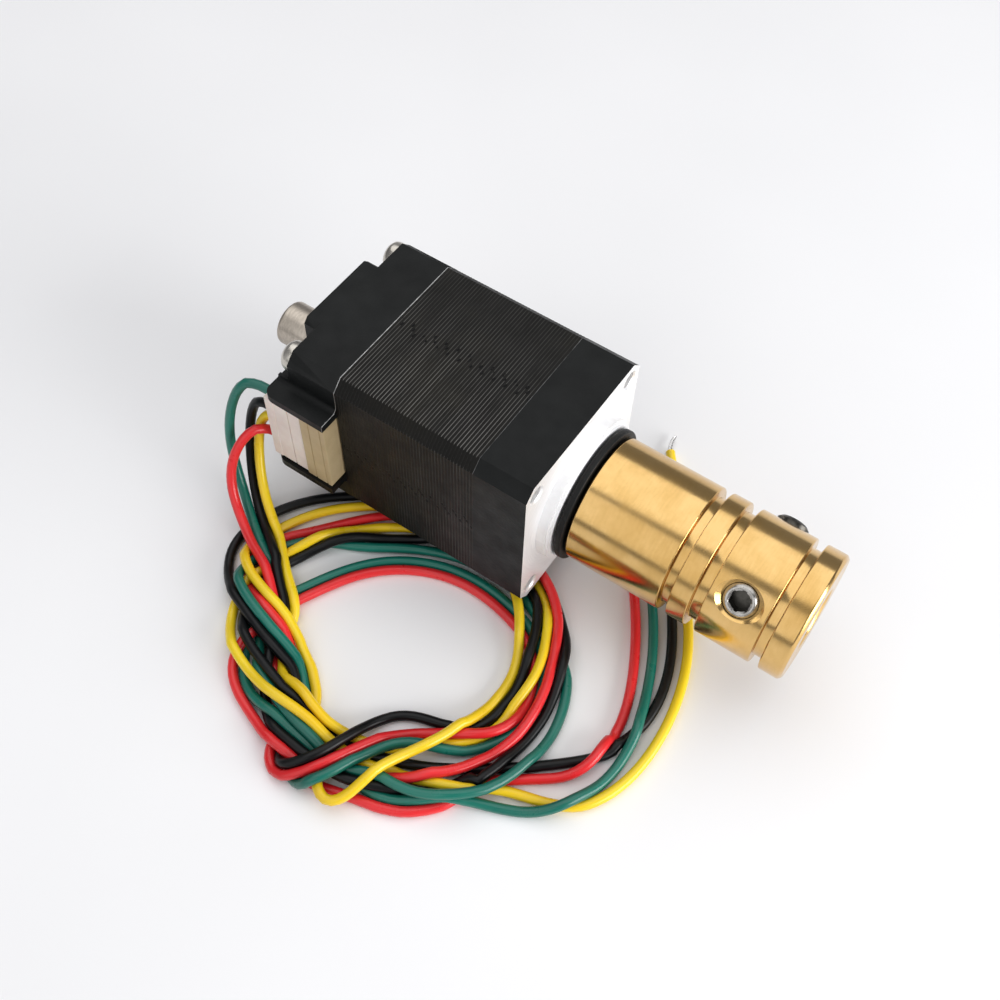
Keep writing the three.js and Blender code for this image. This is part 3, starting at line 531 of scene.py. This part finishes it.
def push_apart(p, free, way, first, other, order):
    """Parts the points that touch: straight apart, or up and down where two leads cross."""
    apart = p[other] - p[first]
    distance = np.sqrt((apart**2).sum(1)) + TINY
    short = GAP - distance
    touching = short > 0
    i, j, short = first[touching], other[touching], np.minimum(short[touching], MOST_PUSH)
    straight = apart[touching] / distance[touching][:, None]
    normal = np.cross(way[i], way[j])
    crossing = np.linalg.norm(normal, axis=1) + TINY
    normal /= crossing[:, None]
    normal *= np.where(normal[:, 2] * order[touching] < 0, -1, 1)[:, None]
    weight = (np.clip((crossing - 0.2) / 0.3, 0, 1) * (np.abs(normal[:, 2]) > 0.4))[:, None]
    push = ((1 - weight) * straight + weight * normal) * (short * 0.5)[:, None]
    total = len(p)
    count = np.maximum(np.bincount(i, minlength=total) + np.bincount(j, minlength=total), 1)
    for axis in range(3):
        moved = np.bincount(j, push[:, axis], total) - np.bincount(i, push[:, axis], total)
        p[:, axis] += moved / count * OVERSHOOT * free


def keep_clear(p):
    """Keeps the leads on the surface, and below the motor where they pass under it."""
    p[:, 2] = np.maximum(p[:, 2], LOWEST)
    x, y, z = p.T
    below = (x > MOTOR_X[0]) & (x < MOTOR_X[1]) & (np.abs(y) < MOTOR_Y) & (z < UNDER_BELOW)
    p[below, 2] = np.minimum(p[below, 2], UNDER_MOTOR)


def keep_length(p, step, loose):
    gaps = np.diff(p, axis=0)
    fix = gaps * (1 - step / np.linalg.norm(gaps, axis=1, keepdims=True)) * LENGTH_SHARE
    p[:-1] += fix * loose[:-1]
    p[1:] -= fix * loose[1:]


def settle(paths):
    """Lets the leads lie on the surface and on each other, as stiff round strands of fixed length."""
    p = np.vstack(paths)
    ends = np.cumsum([0] + [len(path) for path in paths])
    spans = [slice(start, end) for start, end in zip(ends, ends[1:])]
    strand = np.repeat(np.arange(len(paths)), np.diff(ends))
    free = np.ones(len(p))
    for start in ends[:-1]:
        free[start : start + HELD] = 0
    loose = free[:, None]
    bending = [bending_solver(len(path)) for path in paths]
    for span, solve in zip(spans, bending):
        for _ in range(SMOOTHING):
            p[span] = solve @ p[span]
    home = p.copy()
    steps = [np.linalg.norm(np.diff(p[span], axis=0), axis=1).mean() for span in spans]
    for number in range(ROUNDS):
        if number % SEARCH_EVERY == 0:
            pairs = close_pairs(p, home, strand)
        p[:, :2] += (home - p)[:, :2] * (LATE_PULL if number > ROUNDS * LATE else PULL) * loose
        p[:, 2] -= SINK * free
        for span, solve in zip(spans, bending):
            p[span] = solve @ p[span]
        way = directions(p)
        for _ in range(PASSES):
            push_apart(p, free, way, *pairs)
            keep_clear(p)
            for span, step in zip(spans, steps):
                keep_length(p[span], step, loose[span])
    return [p[span] for span in spans]


def curve_object(name, points, radius, material, resolution=3):
    """A round strand along points in mm, as a curve of one open spline."""
    curve = bpy.data.curves.new(name, "CURVE")
    curve.dimensions = "3D"
    curve.bevel_depth = radius * MM
    curve.bevel_resolution = resolution
    curve.use_fill_caps = True
    line = curve.splines.new("POLY")
    line.points.add(len(points) - 1)
    for point, xyz in zip(line.points, points):
        point.co = (*(Vector(xyz) * MM), 1)
    line.use_smooth = True
    curve.materials.append(material)
    return placed(name, curve)


STRANDS = 5  # in the stripped end of each lead
STRAND_R, STRAND_LAY = 0.13, 0.22  # the radius of a strand, and how far it lies from the middle of the twist
STRAND_STEP, STRAND_TURN = 0.26, 0.55  # mm and radians from one point of a strand to the next
STRAND_BEND = 0.0072


def tinned_end(colour, path):
    """The stripped end of a lead: twisted, tinned strands, bent slightly to one side."""
    end, onward = path[-1], path[-1] - path[-4]
    onward = onward / np.linalg.norm(onward)
    side = np.array([-onward[1], onward[0], 0.0])
    strands = []
    for number in range(STRANDS):
        points = []
        for step in range(13):
            turn = number * math.tau / STRANDS + step * STRAND_TURN
            ahead = onward * (step * STRAND_STEP - 0.3)
            aside = side * (STRAND_LAY * math.cos(turn) - STRAND_BEND * step * step)
            points.append(end + ahead + aside + np.array([0, 0, STRAND_LAY * math.sin(turn) + 0.1]))
        strand = curve_object(f"{colour}_tinned_strand_{number + 1}", points, STRAND_R, tinned, 1)
        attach(strand, "motor")
        strands.append(strand)
    return strands


COLOURS = ["green", "black", "yellow", "red"]
for colour, path in zip(COLOURS, settle([lead_route(colour) for colour in COLOURS])):
    lead = curve_object(colour + "_lead", path, WIRE_R, WIRE_MATERIALS[colour])
    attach(lead, "motor")
    replaced = [colour + "_lead_from_plug", colour + "_lead_to_end"]
    if colour == "yellow":
        replaced.append("lead_coil")
    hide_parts(*replaced)
    tinned_end(colour, path)


# ---- mesh helpers, with lengths in mm ----
def piece(name, bm, *materials):
    """Makes an object from a bmesh in mm, in the frame of the CAD."""
    mesh = bpy.data.meshes.new(name)
    bmesh.ops.scale(bm, vec=(MM,) * 3, verts=bm.verts)
    bmesh.ops.recalc_face_normals(bm, faces=bm.faces)
    bm.to_mesh(mesh)
    bm.free()
    for material in materials:
        mesh.materials.append(material)
    return placed(name, mesh)


def lathe(profile, steps=128, at=(0.0, 0.0)):
    """A closed solid of revolution about an axis along X, through (y, z) from the shaft's axis."""
    bm = bmesh.new()
    y, z = at[0], AXIS_Z + at[1]
    turns = [math.tau * k / steps for k in range(steps)]
    rings = []
    for x, radius in profile:
        if radius <= 1e-6:
            rings.append([bm.verts.new((x, y, z))])
            continue
        rings.append([bm.verts.new((x, y + radius * math.cos(t), z + radius * math.sin(t))) for t in turns])
    hollow = len(rings[0]) > 1
    pairs = list(zip(rings, rings[1:] + ([rings[0]] if hollow else [])))
    for a, b in pairs:
        for k in range(steps):
            n = (k + 1) % steps
            corners = [a[k % len(a)], a[n % len(a)], b[n % len(b)], b[k % len(b)]]
            unique = list(dict.fromkeys(corners))
            if len(unique) > 2:
                bm.faces.new(unique)
    return bm


def stepped(start, *steps):
    """The profile of a stepped cylinder, or hole, from start: each step is its radius and where it ends."""
    out = [(start, 0)]
    for radius, end in steps:
        out += [(start, radius), (end, radius)]
        start = end
    return out + [(start, 0)]


def ring_profile(start, end, inner, outer):
    return [(start, inner), (start, outer), (end, outer), (end, inner)]


def rounded_profile(points, radius, steps=3):
    """The profile with each inner corner replaced by a small arc."""
    out = [points[0]]
    for before, at, after in zip(points, points[1:], points[2:]):
        before, at, after = Vector(before), Vector(at), Vector(after)
        reach = min(radius, (at - before).length * 0.45, (after - at).length * 0.45)
        start = at + (before - at).normalized() * reach
        end = at + (after - at).normalized() * reach
        for k in range(steps + 1):
            t = k / steps
            out.append(tuple(start * (1 - t) ** 2 + at * 2 * t * (1 - t) + end * t**2))
    return out + [points[-1]]


def prism(outline, x0, x1):
    """An outline of (y, z) from the shaft's axis, made solid from x0 to x1."""
    bm = bmesh.new()
    rings = [[bm.verts.new((x, y, AXIS_Z + z)) for y, z in outline] for x in (x0, x1)]
    bm.faces.new(rings[0])
    bm.faces.new(rings[1][::-1])
    count = len(outline)
    for k in range(count):
        n = (k + 1) % count
        bm.faces.new((rings[0][k], rings[1][k], rings[1][n], rings[0][n]))
    return bm


def plate(outline, z0, z1):
    """An outline of (x, y), made solid between two heights from the shaft's axis."""
    bm = bmesh.new()
    rings = [[bm.verts.new((x, y, AXIS_Z + z)) for x, y in outline] for z in (z0, z1)]
    bm.faces.new(rings[0][::-1])
    bm.faces.new(rings[1])
    count = len(outline)
    for k in range(count):
        n = (k + 1) % count
        bm.faces.new((rings[0][k], rings[0][n], rings[1][n], rings[1][k]))
    return bm


def block(x0, x1, y0, y1, z0, z1):
    return prism([(y0, z0), (y1, z0), (y1, z1), (y0, z1)], x0, x1)


def chamfered(reach, chamfer):
    flat = reach - chamfer
    return [(flat, -reach), (reach, -flat), (reach, flat), (flat, reach), (-flat, reach), (-reach, flat),
            (-reach, -flat), (-flat, -reach)]


def radial_tool(angle, start, end, radius_start, radius_end, steps=64):
    """A cone frustum at the set screws' place, pointing out from the shaft at an angle from +Y towards +Z."""
    bm = bmesh.new()
    bmesh.ops.create_cone(bm, cap_ends=True, segments=steps, radius1=radius_start, radius2=radius_end,
                          depth=end - start)
    bmesh.ops.translate(bm, vec=(0, 0, (start + end) / 2), verts=bm.verts)
    turn = Matrix.Rotation(math.radians(angle), 4, "X") @ Matrix.Rotation(math.radians(-90), 4, "X")
    bmesh.ops.transform(bm, matrix=Matrix.Translation((SET_X, 0, AXIS_Z)) @ turn, verts=bm.verts)
    return bm


def apply_modifiers(thing):
    bpy.context.view_layer.update()
    graph = bpy.context.evaluated_depsgraph_get()
    source = thing.evaluated_get(graph)
    mesh = bpy.data.meshes.new_from_object(source, preserve_all_data_layers=True, depsgraph=graph)
    thing.modifiers.clear()
    old, thing.data = thing.data, mesh
    mesh.name = thing.name
    bpy.data.meshes.remove(old)


def combine(thing, bodies, operation="DIFFERENCE"):
    for bm in bodies:
        tool = piece("tool", bm)
        step = thing.modifiers.new("step", "BOOLEAN")
        step.operation, step.object, step.solver = operation, tool, "EXACT"
        apply_modifiers(thing)
        bpy.data.objects.remove(tool)


def soften(thing, width, sharp=50):
    """Rounds the sharp edges a little and evens out the shading of flat faces."""
    if width:
        edge = thing.modifiers.new("edge", "BEVEL")
        edge.width, edge.segments = width * MM, 2
        edge.limit_method, edge.angle_limit = "ANGLE", math.radians(30)
        edge.use_clamp_overlap = True
        edge.miter_outer = "MITER_ARC"
        apply_modifiers(thing)
    thing.data.polygons.foreach_set("use_smooth", [True] * len(thing.data.polygons))
    even = thing.modifiers.new("even", "WEIGHTED_NORMAL")
    even.keep_sharp = True
    thing.data.set_sharp_from_angle(angle=math.radians(sharp))
    apply_modifiers(thing)


def finish_piece(thing, body, slot, *nodes):
    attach(thing, body)
    if nodes:
        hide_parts(*nodes)


# ---- end bells ----
BOLT_R = 1.3
BOSS_R, POCKET_R = 8.5, 11.95  # the ring-shaped pocket that the ends of the windings stand in
BEARING_R, SHAFT_HOLE_R = 7.1, 4.4
PILOT_R, PILOT_END = 11.0, 1.5
PILOT_STEP_R, PILOT_STEP_END = 10.3, 2.0
INSIDE_FRONT = -9.4  # where the cuts into the front bell start, behind it
FRONT_POCKET_END, FRONT_BOSS_END, FRONT_SEAT_END = -3.2, -4.4, 0.4
front = piece("front_bell", prism(chamfered(HALF, CHAMFER), STACK_FRONT, 0.0), bell_paint, face_metal)
combine(front, [lathe(stepped(-1, (PILOT_R, PILOT_END), (PILOT_STEP_R, PILOT_STEP_END)))], "UNION")
combine(front, [
    lathe(ring_profile(INSIDE_FRONT, FRONT_POCKET_END, BOSS_R, POCKET_R), 96),
    lathe(stepped(INSIDE_FRONT, (BOSS_R + 0.1, FRONT_BOSS_END), (BEARING_R, FRONT_SEAT_END),
                  (SHAFT_HOLE_R, PILOT_STEP_END + 1)), 96),
])
combine(front, [lathe([(INSIDE_FRONT, 0), (INSIDE_FRONT, BOLT_R), (-0.25, BOLT_R), (0.3, BOLT_R + 0.55),
                       (0.3, 0)], 32, at) for at in SCREW_PLACES])
soften(front, 0.14)
for face in front.data.polygons:
    y, z = face.center.y / MM, face.center.z / MM - AXIS_Z
    in_hole = min(math.hypot(y - at[0], z - at[1]) for at in SCREW_PLACES) < BOLT_R + 0.2
    if face.center.x > -0.06 * MM or in_hole:
        face.material_index = 1
finish_piece(front, "motor", "bell_black", "front_end_bell")


def cross_outline():
    """The rear boss: a square with its corners cut away for the screw heads."""
    inner, corner = BOSS_HALF, 0.8
    quarter = [(inner - corner, -HALF), (inner, -HALF + corner), (inner, -inner), (HALF - corner, -inner),
               (HALF, -inner + corner)]
    ring = []
    for turn in range(4):
        c, s = round(math.cos(turn * math.pi / 2)), round(math.sin(turn * math.pi / 2))
        ring += [(y * c - z * s, y * s + z * c) for y, z in quarter]
    return ring


def wall_outline():
    """A wall of the connector slot, seen along Z, with its outer corner rounded."""
    corner, steps = 1.6, 8
    arc = [(REAR_END + corner - corner * math.cos(math.pi / 2 * k / steps),
            WALL_REACH + corner - corner * math.sin(math.pi / 2 * k / steps)) for k in range(steps + 1)]
    return [(STACK_REAR, -13), (REAR_END, -13)] + arc + [(STACK_REAR, WALL_REACH)]


def cove(sign):
    """The rounded inside corner between the near side of the bell and a wall of the connector slot."""
    radius, steps, into = 0.9, 8, 0.5
    root = SLOT_HALF + SLOT_WALL
    arc = [(-HALF - radius + radius * math.sin(math.pi / 2 * k / steps),
            root + radius - radius * math.cos(math.pi / 2 * k / steps)) for k in range(steps + 1)]
    back = [(-HALF + into, root + radius), (-HALF + into, root - into), (-HALF - radius, root - into)]
    return prism([(y, sign * z) for y, z in arc + back], REAR_END + 0.3, STACK_REAR - 0.02)


rear = piece("rear_bell", prism(chamfered(HALF, CHAMFER), REAR_CORNER, STACK_REAR), bell_paint, edge_metal)
top_wall, wall_root = SLOT_HALF + SLOT_WALL, REAR_CORNER + 0.5
combine(rear, [
    prism(cross_outline(), REAR_END, wall_root),
    block(REAR_END, wall_root, -HALF, -10, -top_wall, top_wall),
    plate(wall_outline(), SLOT_HALF, top_wall),
    plate(wall_outline(), -top_wall, -SLOT_HALF),
    cove(1),
    cove(-1),
], "UNION")
WASHER_X = REAR_END + 2.2
REAR_SEAT_START, REAR_SEAT_END = WASHER_X - 0.9, WASHER_X + 4.7
REAR_POCKET_END = REAR_END + 5.2
HEAD_HOLE_R = 2.6
BEHIND_REAR, INSIDE_REAR = REAR_END - 1, STACK_REAR + 1
combine(rear, [
    block(BEHIND_REAR, INSIDE_REAR, WALL_REACH - 1, SLOT_DEPTH, -SLOT_HALF, SLOT_HALF),
    lathe(ring_profile(REAR_POCKET_END, INSIDE_REAR, BOSS_R, POCKET_R), 96),
    lathe(stepped(BEHIND_REAR, (SHAFT_HOLE_R, REAR_SEAT_START), (BEARING_R, REAR_SEAT_END),
                  (BOSS_R + 0.1, INSIDE_REAR)), 96),
])
screw_hole = stepped(BEHIND_REAR, (HEAD_HOLE_R, REAR_CORNER), (BOLT_R + 0.05, INSIDE_REAR))
combine(rear, [lathe(screw_hole, 32, at) for at in SCREW_PLACES])
soften(rear, 0.22)
for face in rear.data.polygons:
    on_wall = face.center.x > (STACK_REAR - 0.2) * MM and face.center.y < (-HALF - 0.05) * MM
    if on_wall and 0.2 < face.normal.x < 0.95:
        face.material_index = 1
finish_piece(rear, "motor", "bell_black", "rear_end_bell")


# ---- stack of laminations ----
def outer_face(face):
    """Whether a face of the stack is on one of its four sides or chamfers."""
    y, z = abs(face.calc_center_median().y), abs(face.calc_center_median().z - AXIS_Z * MM)
    outside = max(y, z) > (HALF - 0.1) * MM or y + z > (2 * HALF - CHAMFER - 0.1) * MM
    return outside and abs(face.normal.x) < 0.1


def laminations():
    """The stack's CAD mesh, with a fine groove round it between each two sheets."""
    bm = bmesh.new()
    bm.from_mesh(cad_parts["stator_stack"].data)
    bmesh.ops.remove_doubles(bm, verts=bm.verts, dist=1e-7)
    bm.faces.ensure_lookup_table()
    outer = dict.fromkeys(f for f in bm.faces if outer_face(f))
    edges = dict.fromkeys(e for f in outer for e in f.edges)
    shared = [e for e in edges if all(f in outer for f in e.link_faces)]
    seams = [e for e in shared if e.link_faces[0].normal.dot(e.link_faces[1].normal) > 0.999]
    bmesh.ops.dissolve_edges(bm, edges=seams, use_verts=False)
    depth, half_width = 0.035, 0.05
    for sheet in range(1, SHEETS):
        seam = STACK_FRONT - sheet * PITCH
        for x, sink in ((seam - half_width, 0), (seam, depth), (seam + half_width, 0)):
            faces = [f for f in bm.faces if outer_face(f)]
            edges = dict.fromkeys(e for f in faces for e in f.edges)
            verts = dict.fromkeys(v for f in faces for v in f.verts)
            cut = bmesh.ops.bisect_plane(bm, geom=[*faces, *edges, *verts], plane_co=(x * MM, 0, 0),
                                         plane_no=(1, 0, 0), dist=1e-8)
            if sink:
                shrink = 1 - sink / HALF
                for vert in {v for v in cut["geom_cut"] if isinstance(v, bmesh.types.BMVert)}:
                    vert.co.y *= shrink
                    vert.co.z = (vert.co.z - AXIS_Z * MM) * shrink + AXIS_Z * MM
    mesh = bpy.data.meshes.new("stack_laminations")
    bm.to_mesh(mesh)
    bm.free()
    mesh.materials.clear()
    mesh.materials.append(stack_paint)
    return placed("stack_laminations", mesh)


finish_piece(laminations(), "motor", "stack_black", "stator_stack")

# bare edges where the bells meet the stack, over the top and its chamfers
for name, seam, width, metal in (("front_seam_edge", STACK_FRONT, 0.03, dull_edge),
                                 ("rear_seam_edge", STACK_REAR, 0.05, edge_metal)):
    seam_ring = piece(name, prism(chamfered(HALF + 0.02, CHAMFER), seam - width, seam + width), metal)
    combine(seam_ring, [prism(chamfered(HALF - 0.4, CHAMFER), seam - 1, seam + 1),
                        block(seam - 1, seam + 1, -HALF - 1, HALF + 1, -HALF - 1, HALF - CHAMFER)])
    finish_piece(seam_ring, "motor", "steel")

seam_x, wall_z = STACK_REAR - 0.05, AXIS_Z + SLOT_HALF + SLOT_WALL
edge_route = [
    (-HALF, AXIS_Z + HALF - CHAMFER), (-HALF, wall_z + 1.3), (-HALF - 0.12, wall_z + 0.5),
    (-HALF - 0.5, wall_z + 0.12), (-HALF - 1.1, wall_z), (WALL_REACH + 0.1, wall_z),
    (WALL_REACH, wall_z - 0.2), (WALL_REACH, wall_z - SLOT_WALL + 0.2),
]
edge_route = [(seam_x, y, z) for y, z in edge_route]
wall_edge = curve_object("rear_seam_edge_on_wall", edge_route, 0.05, edge_metal, 1)
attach(wall_edge, "motor")

# ---- shaft, spacer ring and sleeve ----
THICK_R, THICK_START, THICK_END = 4.4, -34.6, -4.4  # the part of the shaft between the bearings
SPACER_START, SPACER_END, SPACER_R = 2.3, 3.35, 10.15
BORE_R = 3.6  # of the spacer and the sleeve
SOCKET_R, SOCKET_MOUTH_R, SOCKET_START = 4.1, 4.7, 22
GROOVE_EDGE, END_EDGE = 0.12, 0.45

shaft = piece("shaft", lathe(rounded_profile([
    (SHAFT_REAR, 0), (SHAFT_REAR, SHAFT_R - 0.35), (SHAFT_REAR + 0.35, SHAFT_R), (THICK_START, SHAFT_R),
    (THICK_START, THICK_R), (THICK_END, THICK_R), (THICK_END, SHAFT_R), (SHAFT_FRONT - 0.5, SHAFT_R),
    (SHAFT_FRONT, SHAFT_R - 0.5), (SHAFT_FRONT, 0)], 0.3), 96), shaft_steel)
soften(shaft, 0)
finish_piece(shaft, "shaft", "steel", "rotor_shaft")

# A closed profile starts and ends at one point along its bore, so that its corners are all rounded.
spacer_middle = (2.9, BORE_R)
spacer = piece("black_spacer_ring", lathe(rounded_profile([
    spacer_middle, (SPACER_START, BORE_R), (SPACER_START, SPACER_R), (SPACER_END, SPACER_R),
    (SPACER_END, BORE_R), spacer_middle], 0.3, 4)[:-1], 128), ring_rubber)
soften(spacer, 0)
finish_piece(spacer, "shaft", "black_rubber", "spacer_ring")

bore_middle = (SLEEVE_START + 5, BORE_R)
profile = [bore_middle, (SLEEVE_START, BORE_R), (SLEEVE_START, SLEEVE_R - 0.3),
           (SLEEVE_START + 0.3, SLEEVE_R)]
for start, end in GROOVES:
    profile += [(start - GROOVE_EDGE, SLEEVE_R), (start, SLEEVE_R - GROOVE_EDGE), (start, GROOVE_R),
                (end, GROOVE_R), (end, SLEEVE_R - GROOVE_EDGE), (end + GROOVE_EDGE, SLEEVE_R)]
profile += [(SLEEVE_END - END_EDGE, SLEEVE_R), (SLEEVE_END, SLEEVE_R - END_EDGE),
            (SLEEVE_END, SOCKET_MOUTH_R), (SLEEVE_END - 0.6, SOCKET_R), (SOCKET_START, SOCKET_R),
            (SOCKET_START, BORE_R), bore_middle]
sleeve = piece("turned_sleeve", lathe(rounded_profile(profile, 0.16, 3)[:-1], 192), sleeve_brass)
for angle in SET_ANGLES:
    combine(sleeve, [radial_tool(angle, 1, SLEEVE_R + 3, SET_R + 0.1, SET_R + 0.1),
                     radial_tool(angle, SLEEVE_R - 0.75, SLEEVE_R + 1.25, SET_R + 0.1, SET_R + 2.4)])
soften(sleeve, 0, sharp=35)
finish_piece(sleeve, "shaft", "brass", "brass_sleeve")


def set_screw(number, outer, steel):
    """A socket set screw: its ends chamfered, with a hexagon socket, and its thread cut as fine grooves."""
    length, pitch, depth, point = 4.4, 0.7, 0.14, 0.6
    socket_r, socket_depth = 1.55, 2.0
    angle = SET_ANGLES[number - 1]
    at = outer - length + point
    outline = [(outer - length, 0), (outer - length, SET_R - point), (at, SET_R - depth)]
    while at + pitch < outer - 0.45:
        outline += [(at + pitch * 0.25, SET_R), (at + pitch * 0.5, SET_R), (at + pitch, SET_R - depth)]
        at += pitch
    outline += [(outer - 0.4, SET_R), (outer - 0.05, SET_R - 0.35), (outer, SET_R - 0.42), (outer, 0)]
    bm = lathe(outline, 64)
    turn = Matrix.Rotation(math.radians(angle), 4, "X") @ Matrix.Rotation(math.radians(90), 4, "Z")
    bmesh.ops.translate(bm, vec=(0, 0, -AXIS_Z), verts=bm.verts)
    bmesh.ops.transform(bm, matrix=Matrix.Translation((SET_X, 0, AXIS_Z)) @ turn, verts=bm.verts)
    screw = piece(f"socket_set_screw_{number}", bm, steel, dark_steel)
    combine(screw, [radial_tool(angle, outer - socket_depth, outer + 1, socket_r, socket_r, 6),
                    radial_tool(angle, outer - 0.22, outer + 0.4, 1.4, 2.02, 48)])
    soften(screw, 0)
    outward = Vector((0, math.cos(math.radians(angle)), math.sin(math.radians(angle))))
    foot = Vector((SET_X, 0, AXIS_Z))
    # the faces inside the socket get the second material, the near-black steel
    for face in screw.data.polygons:
        offset = face.center / MM - foot
        along = offset.dot(outward)
        aside = (offset - outward * along).length
        if outer - socket_depth - 0.1 < along < outer - 0.2 and aside < socket_r + 0.01:
            face.material_index = 1
    finish_piece(screw, "shaft", "steel", f"set_screw_{number}")


set_screw(1, SLEEVE_R - 0.35, set_screw_steel)
set_screw(2, SLEEVE_R + 0.75, dark_steel)

# ---- through screws ----
HEAD_TOP, HEAD_FOOT, HEAD_R = REAR_CORNER - 2.0, REAR_CORNER - 0.05, 2.3
THREAD_R, TIP_R, TIP = 1.25, 0.85, STACK_FRONT + 4.5
RECESS_END, RECESS_LONG, RECESS_WIDE = HEAD_TOP + 0.95, 1.25, 0.24  # each slot of the cross, as half sizes
for number, (y, z) in enumerate(SCREW_PLACES, 1):
    screw = piece(f"pan_head_screw_{number}", lathe([
        (HEAD_TOP, 0), (HEAD_TOP + 0.05, 1.1), (HEAD_TOP + 0.25, 1.75), (HEAD_TOP + 0.65, 2.15),
        (HEAD_TOP + 1.1, HEAD_R), (HEAD_FOOT, HEAD_R), (HEAD_FOOT, THREAD_R), (TIP - 0.4, THREAD_R),
        (TIP, TIP_R), (TIP, 0)], 48, (y, z)), screw_nickel)
    for wide, high in ((RECESS_LONG, RECESS_WIDE), (RECESS_WIDE, RECESS_LONG)):
        combine(screw, [block(HEAD_TOP - 1, RECESS_END, y - wide, y + wide, z - high, z + high)])
    soften(screw, 0)
    finish_piece(screw, "motor", "steel", f"body_screw_{number}")

# ---- connector ----
BACK, FACE = SLOT_DEPTH - 0.1, -16.9
HEAD_FRONT, HEAD_MOUTH = STACK_REAR - 0.3, STACK_REAR - 4.7
HEADER_HALF, CAVITY_HALF, PLUG_HALF, NOSE_HALF = 6.9, 6.3, 6.6, 6.2


def face_groove(x, depth):
    """A fine groove across the face of the connector, which the slot leaves open."""
    return block(x, x + 0.2, FACE - 1, FACE + depth, -8, 8)


header_box = block(HEAD_MOUTH, HEAD_FRONT, FACE, BACK, -HEADER_HALF, HEADER_HALF)
header = piece("connector_housing", header_box, header_beige)
combine(header, [
    block(HEAD_MOUTH - 1, HEAD_FRONT - 1.2, FACE + 0.6, BACK - 0.6, -CAVITY_HALF, CAVITY_HALF),
    face_groove(HEAD_MOUTH + 1.5, 0.12),
    face_groove(HEAD_FRONT - 0.9, 0.12),
])
soften(header, 0.1)
finish_piece(header, "motor", "header_beige", "connector_header")

plug_box = block(PLUG_REAR, HEAD_MOUTH - 0.1, FACE + 0.1, BACK - 0.1, -PLUG_HALF, PLUG_HALF)
plug = piece("plug_housing", plug_box, plug_ivory)
combine(plug, [
    block(HEAD_MOUTH - 0.5, HEAD_FRONT - 1.5, FACE + 0.7, BACK - 0.7, -NOSE_HALF, NOSE_HALF),
    block(PLUG_REAR, PLUG_REAR + 1.4, FACE, FACE + 0.6, -PLUG_HALF, PLUG_HALF),
], "UNION")
windows = [block(PLUG_REAR + 2.6, PLUG_REAR + 4.4, BACK - 0.65, BACK + 1, z - 0.5, z + 0.5)
           for z in PIN_HEIGHTS]
pin_hole = stepped(PLUG_REAR - 1, (WIRE_R + 0.1, HEAD_FRONT))
holes = [lathe(pin_hole, 24, (PIN_Y, z)) for z in PIN_HEIGHTS]
combine(plug, windows + [face_groove(PLUG_REAR + 3.9, 0.22)] + holes)
soften(plug, 0.09)
finish_piece(plug, "motor", "plug_ivory", "connector_plug")

# ---- carried-over CAD nodes ----
DRESS = {
    "front_insulator": bobbin_ivory, "rear_insulator": bobbin_ivory, "wave_washer": screw_nickel,
    "rotor_cup_front": rotor_iron, "rotor_cup_rear": rotor_iron, "rotor_magnet": magnet_black,
    **{f"pole_winding_{k}": copper for k in range(1, 9)},
    **{f"connector_pin_{k}": pin_brass for k in range(1, 7)},
    **{f"{end}_bearing_{part}": bearing_steel for end in ("front", "rear") for part in
       ("outer_ring", "inner_ring", "balls")},
}
for node, material in DRESS.items():
    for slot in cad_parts[node].material_slots:
        slot.material = material

# ---- camera ----
CAMERA_DISTANCE = 171.86
target = Vector((-7.56, -8.49, 12.5)) * MM
azimuth, elevation, roll = math.radians(302.93), math.radians(56.87), math.radians(1.83)
outwards = Vector((math.cos(elevation) * math.cos(azimuth), math.cos(elevation) * math.sin(azimuth),
                   math.sin(elevation)))
right = (-outwards).cross(Vector((0, 0, 1))).normalized()
up = right.cross(-outwards)
place = Matrix((right, up, outwards)).transposed().to_4x4()
place = Matrix.Translation(target + outwards * CAMERA_DISTANCE * MM) @ place @ Matrix.Rotation(roll, 4, "Z")
lens = bpy.data.cameras.new("camera")
lens.lens, lens.sensor_width = 44.45, 36
lens.clip_start = 0.01
camera = placed("camera", lens)
camera.matrix_world = place
bpy.context.scene.camera = camera

# ---- floor and light ----
FLOOR_REACH = 3.0  # metres
floor_mesh = bpy.data.meshes.new("floor")
corners = [(x * FLOOR_REACH, y * FLOOR_REACH, FLOOR * MM) for x, y in ((-1, -1), (1, -1), (1, 1), (-1, 1))]
floor_mesh.from_pydata(corners, [], [(0, 1, 2, 3)])
floor = placed("floor", floor_mesh)
pale, pale_surface = shader("pale_floor")
link(pale, ramp(pale, noise(pale, coords(pale), 12, 2), [(0.3, (0.86, 0.86, 0.87)), (0.7, (0.9, 0.9, 0.91))]),
     pale_surface, "Base Color")
pale_surface.inputs["Roughness"].default_value = 0.6
floor_mesh.materials.append(pale)


def area_light(name, at, towards, size, power):
    lamp = bpy.data.lights.new(name, "AREA")
    lamp.shape = "RECTANGLE"
    lamp.size, lamp.size_y = size
    lamp.energy = power
    thing = placed(name, lamp)
    thing.location = at
    thing.rotation_euler = (Vector(towards) - Vector(at)).to_track_quat("-Z", "Y").to_euler()


area_light("overhead_softbox", (-0.1, 0.17, 0.6), (-0.01, -0.01, 0), (1.0, 0.85), 3.3)
area_light("front_softbox", (0.5, 0.02, 0.16), (0, 0, 0.01), (0.4, 0.3), 2.9)
area_light("near_fill", (-0.1, -0.54, 0.36), (-0.01, -0.02, 0), (0.7, 0.6), 1.25)
world = bpy.data.worlds.new("studio")
world.use_nodes = True
world.node_tree.nodes["Background"].inputs[0].default_value = (0.86, 0.86, 0.9, 1)
world.node_tree.nodes["Background"].inputs[1].default_value = 0.26
bpy.context.scene.world = world
bpy.context.scene.view_settings.view_transform = "Standard"
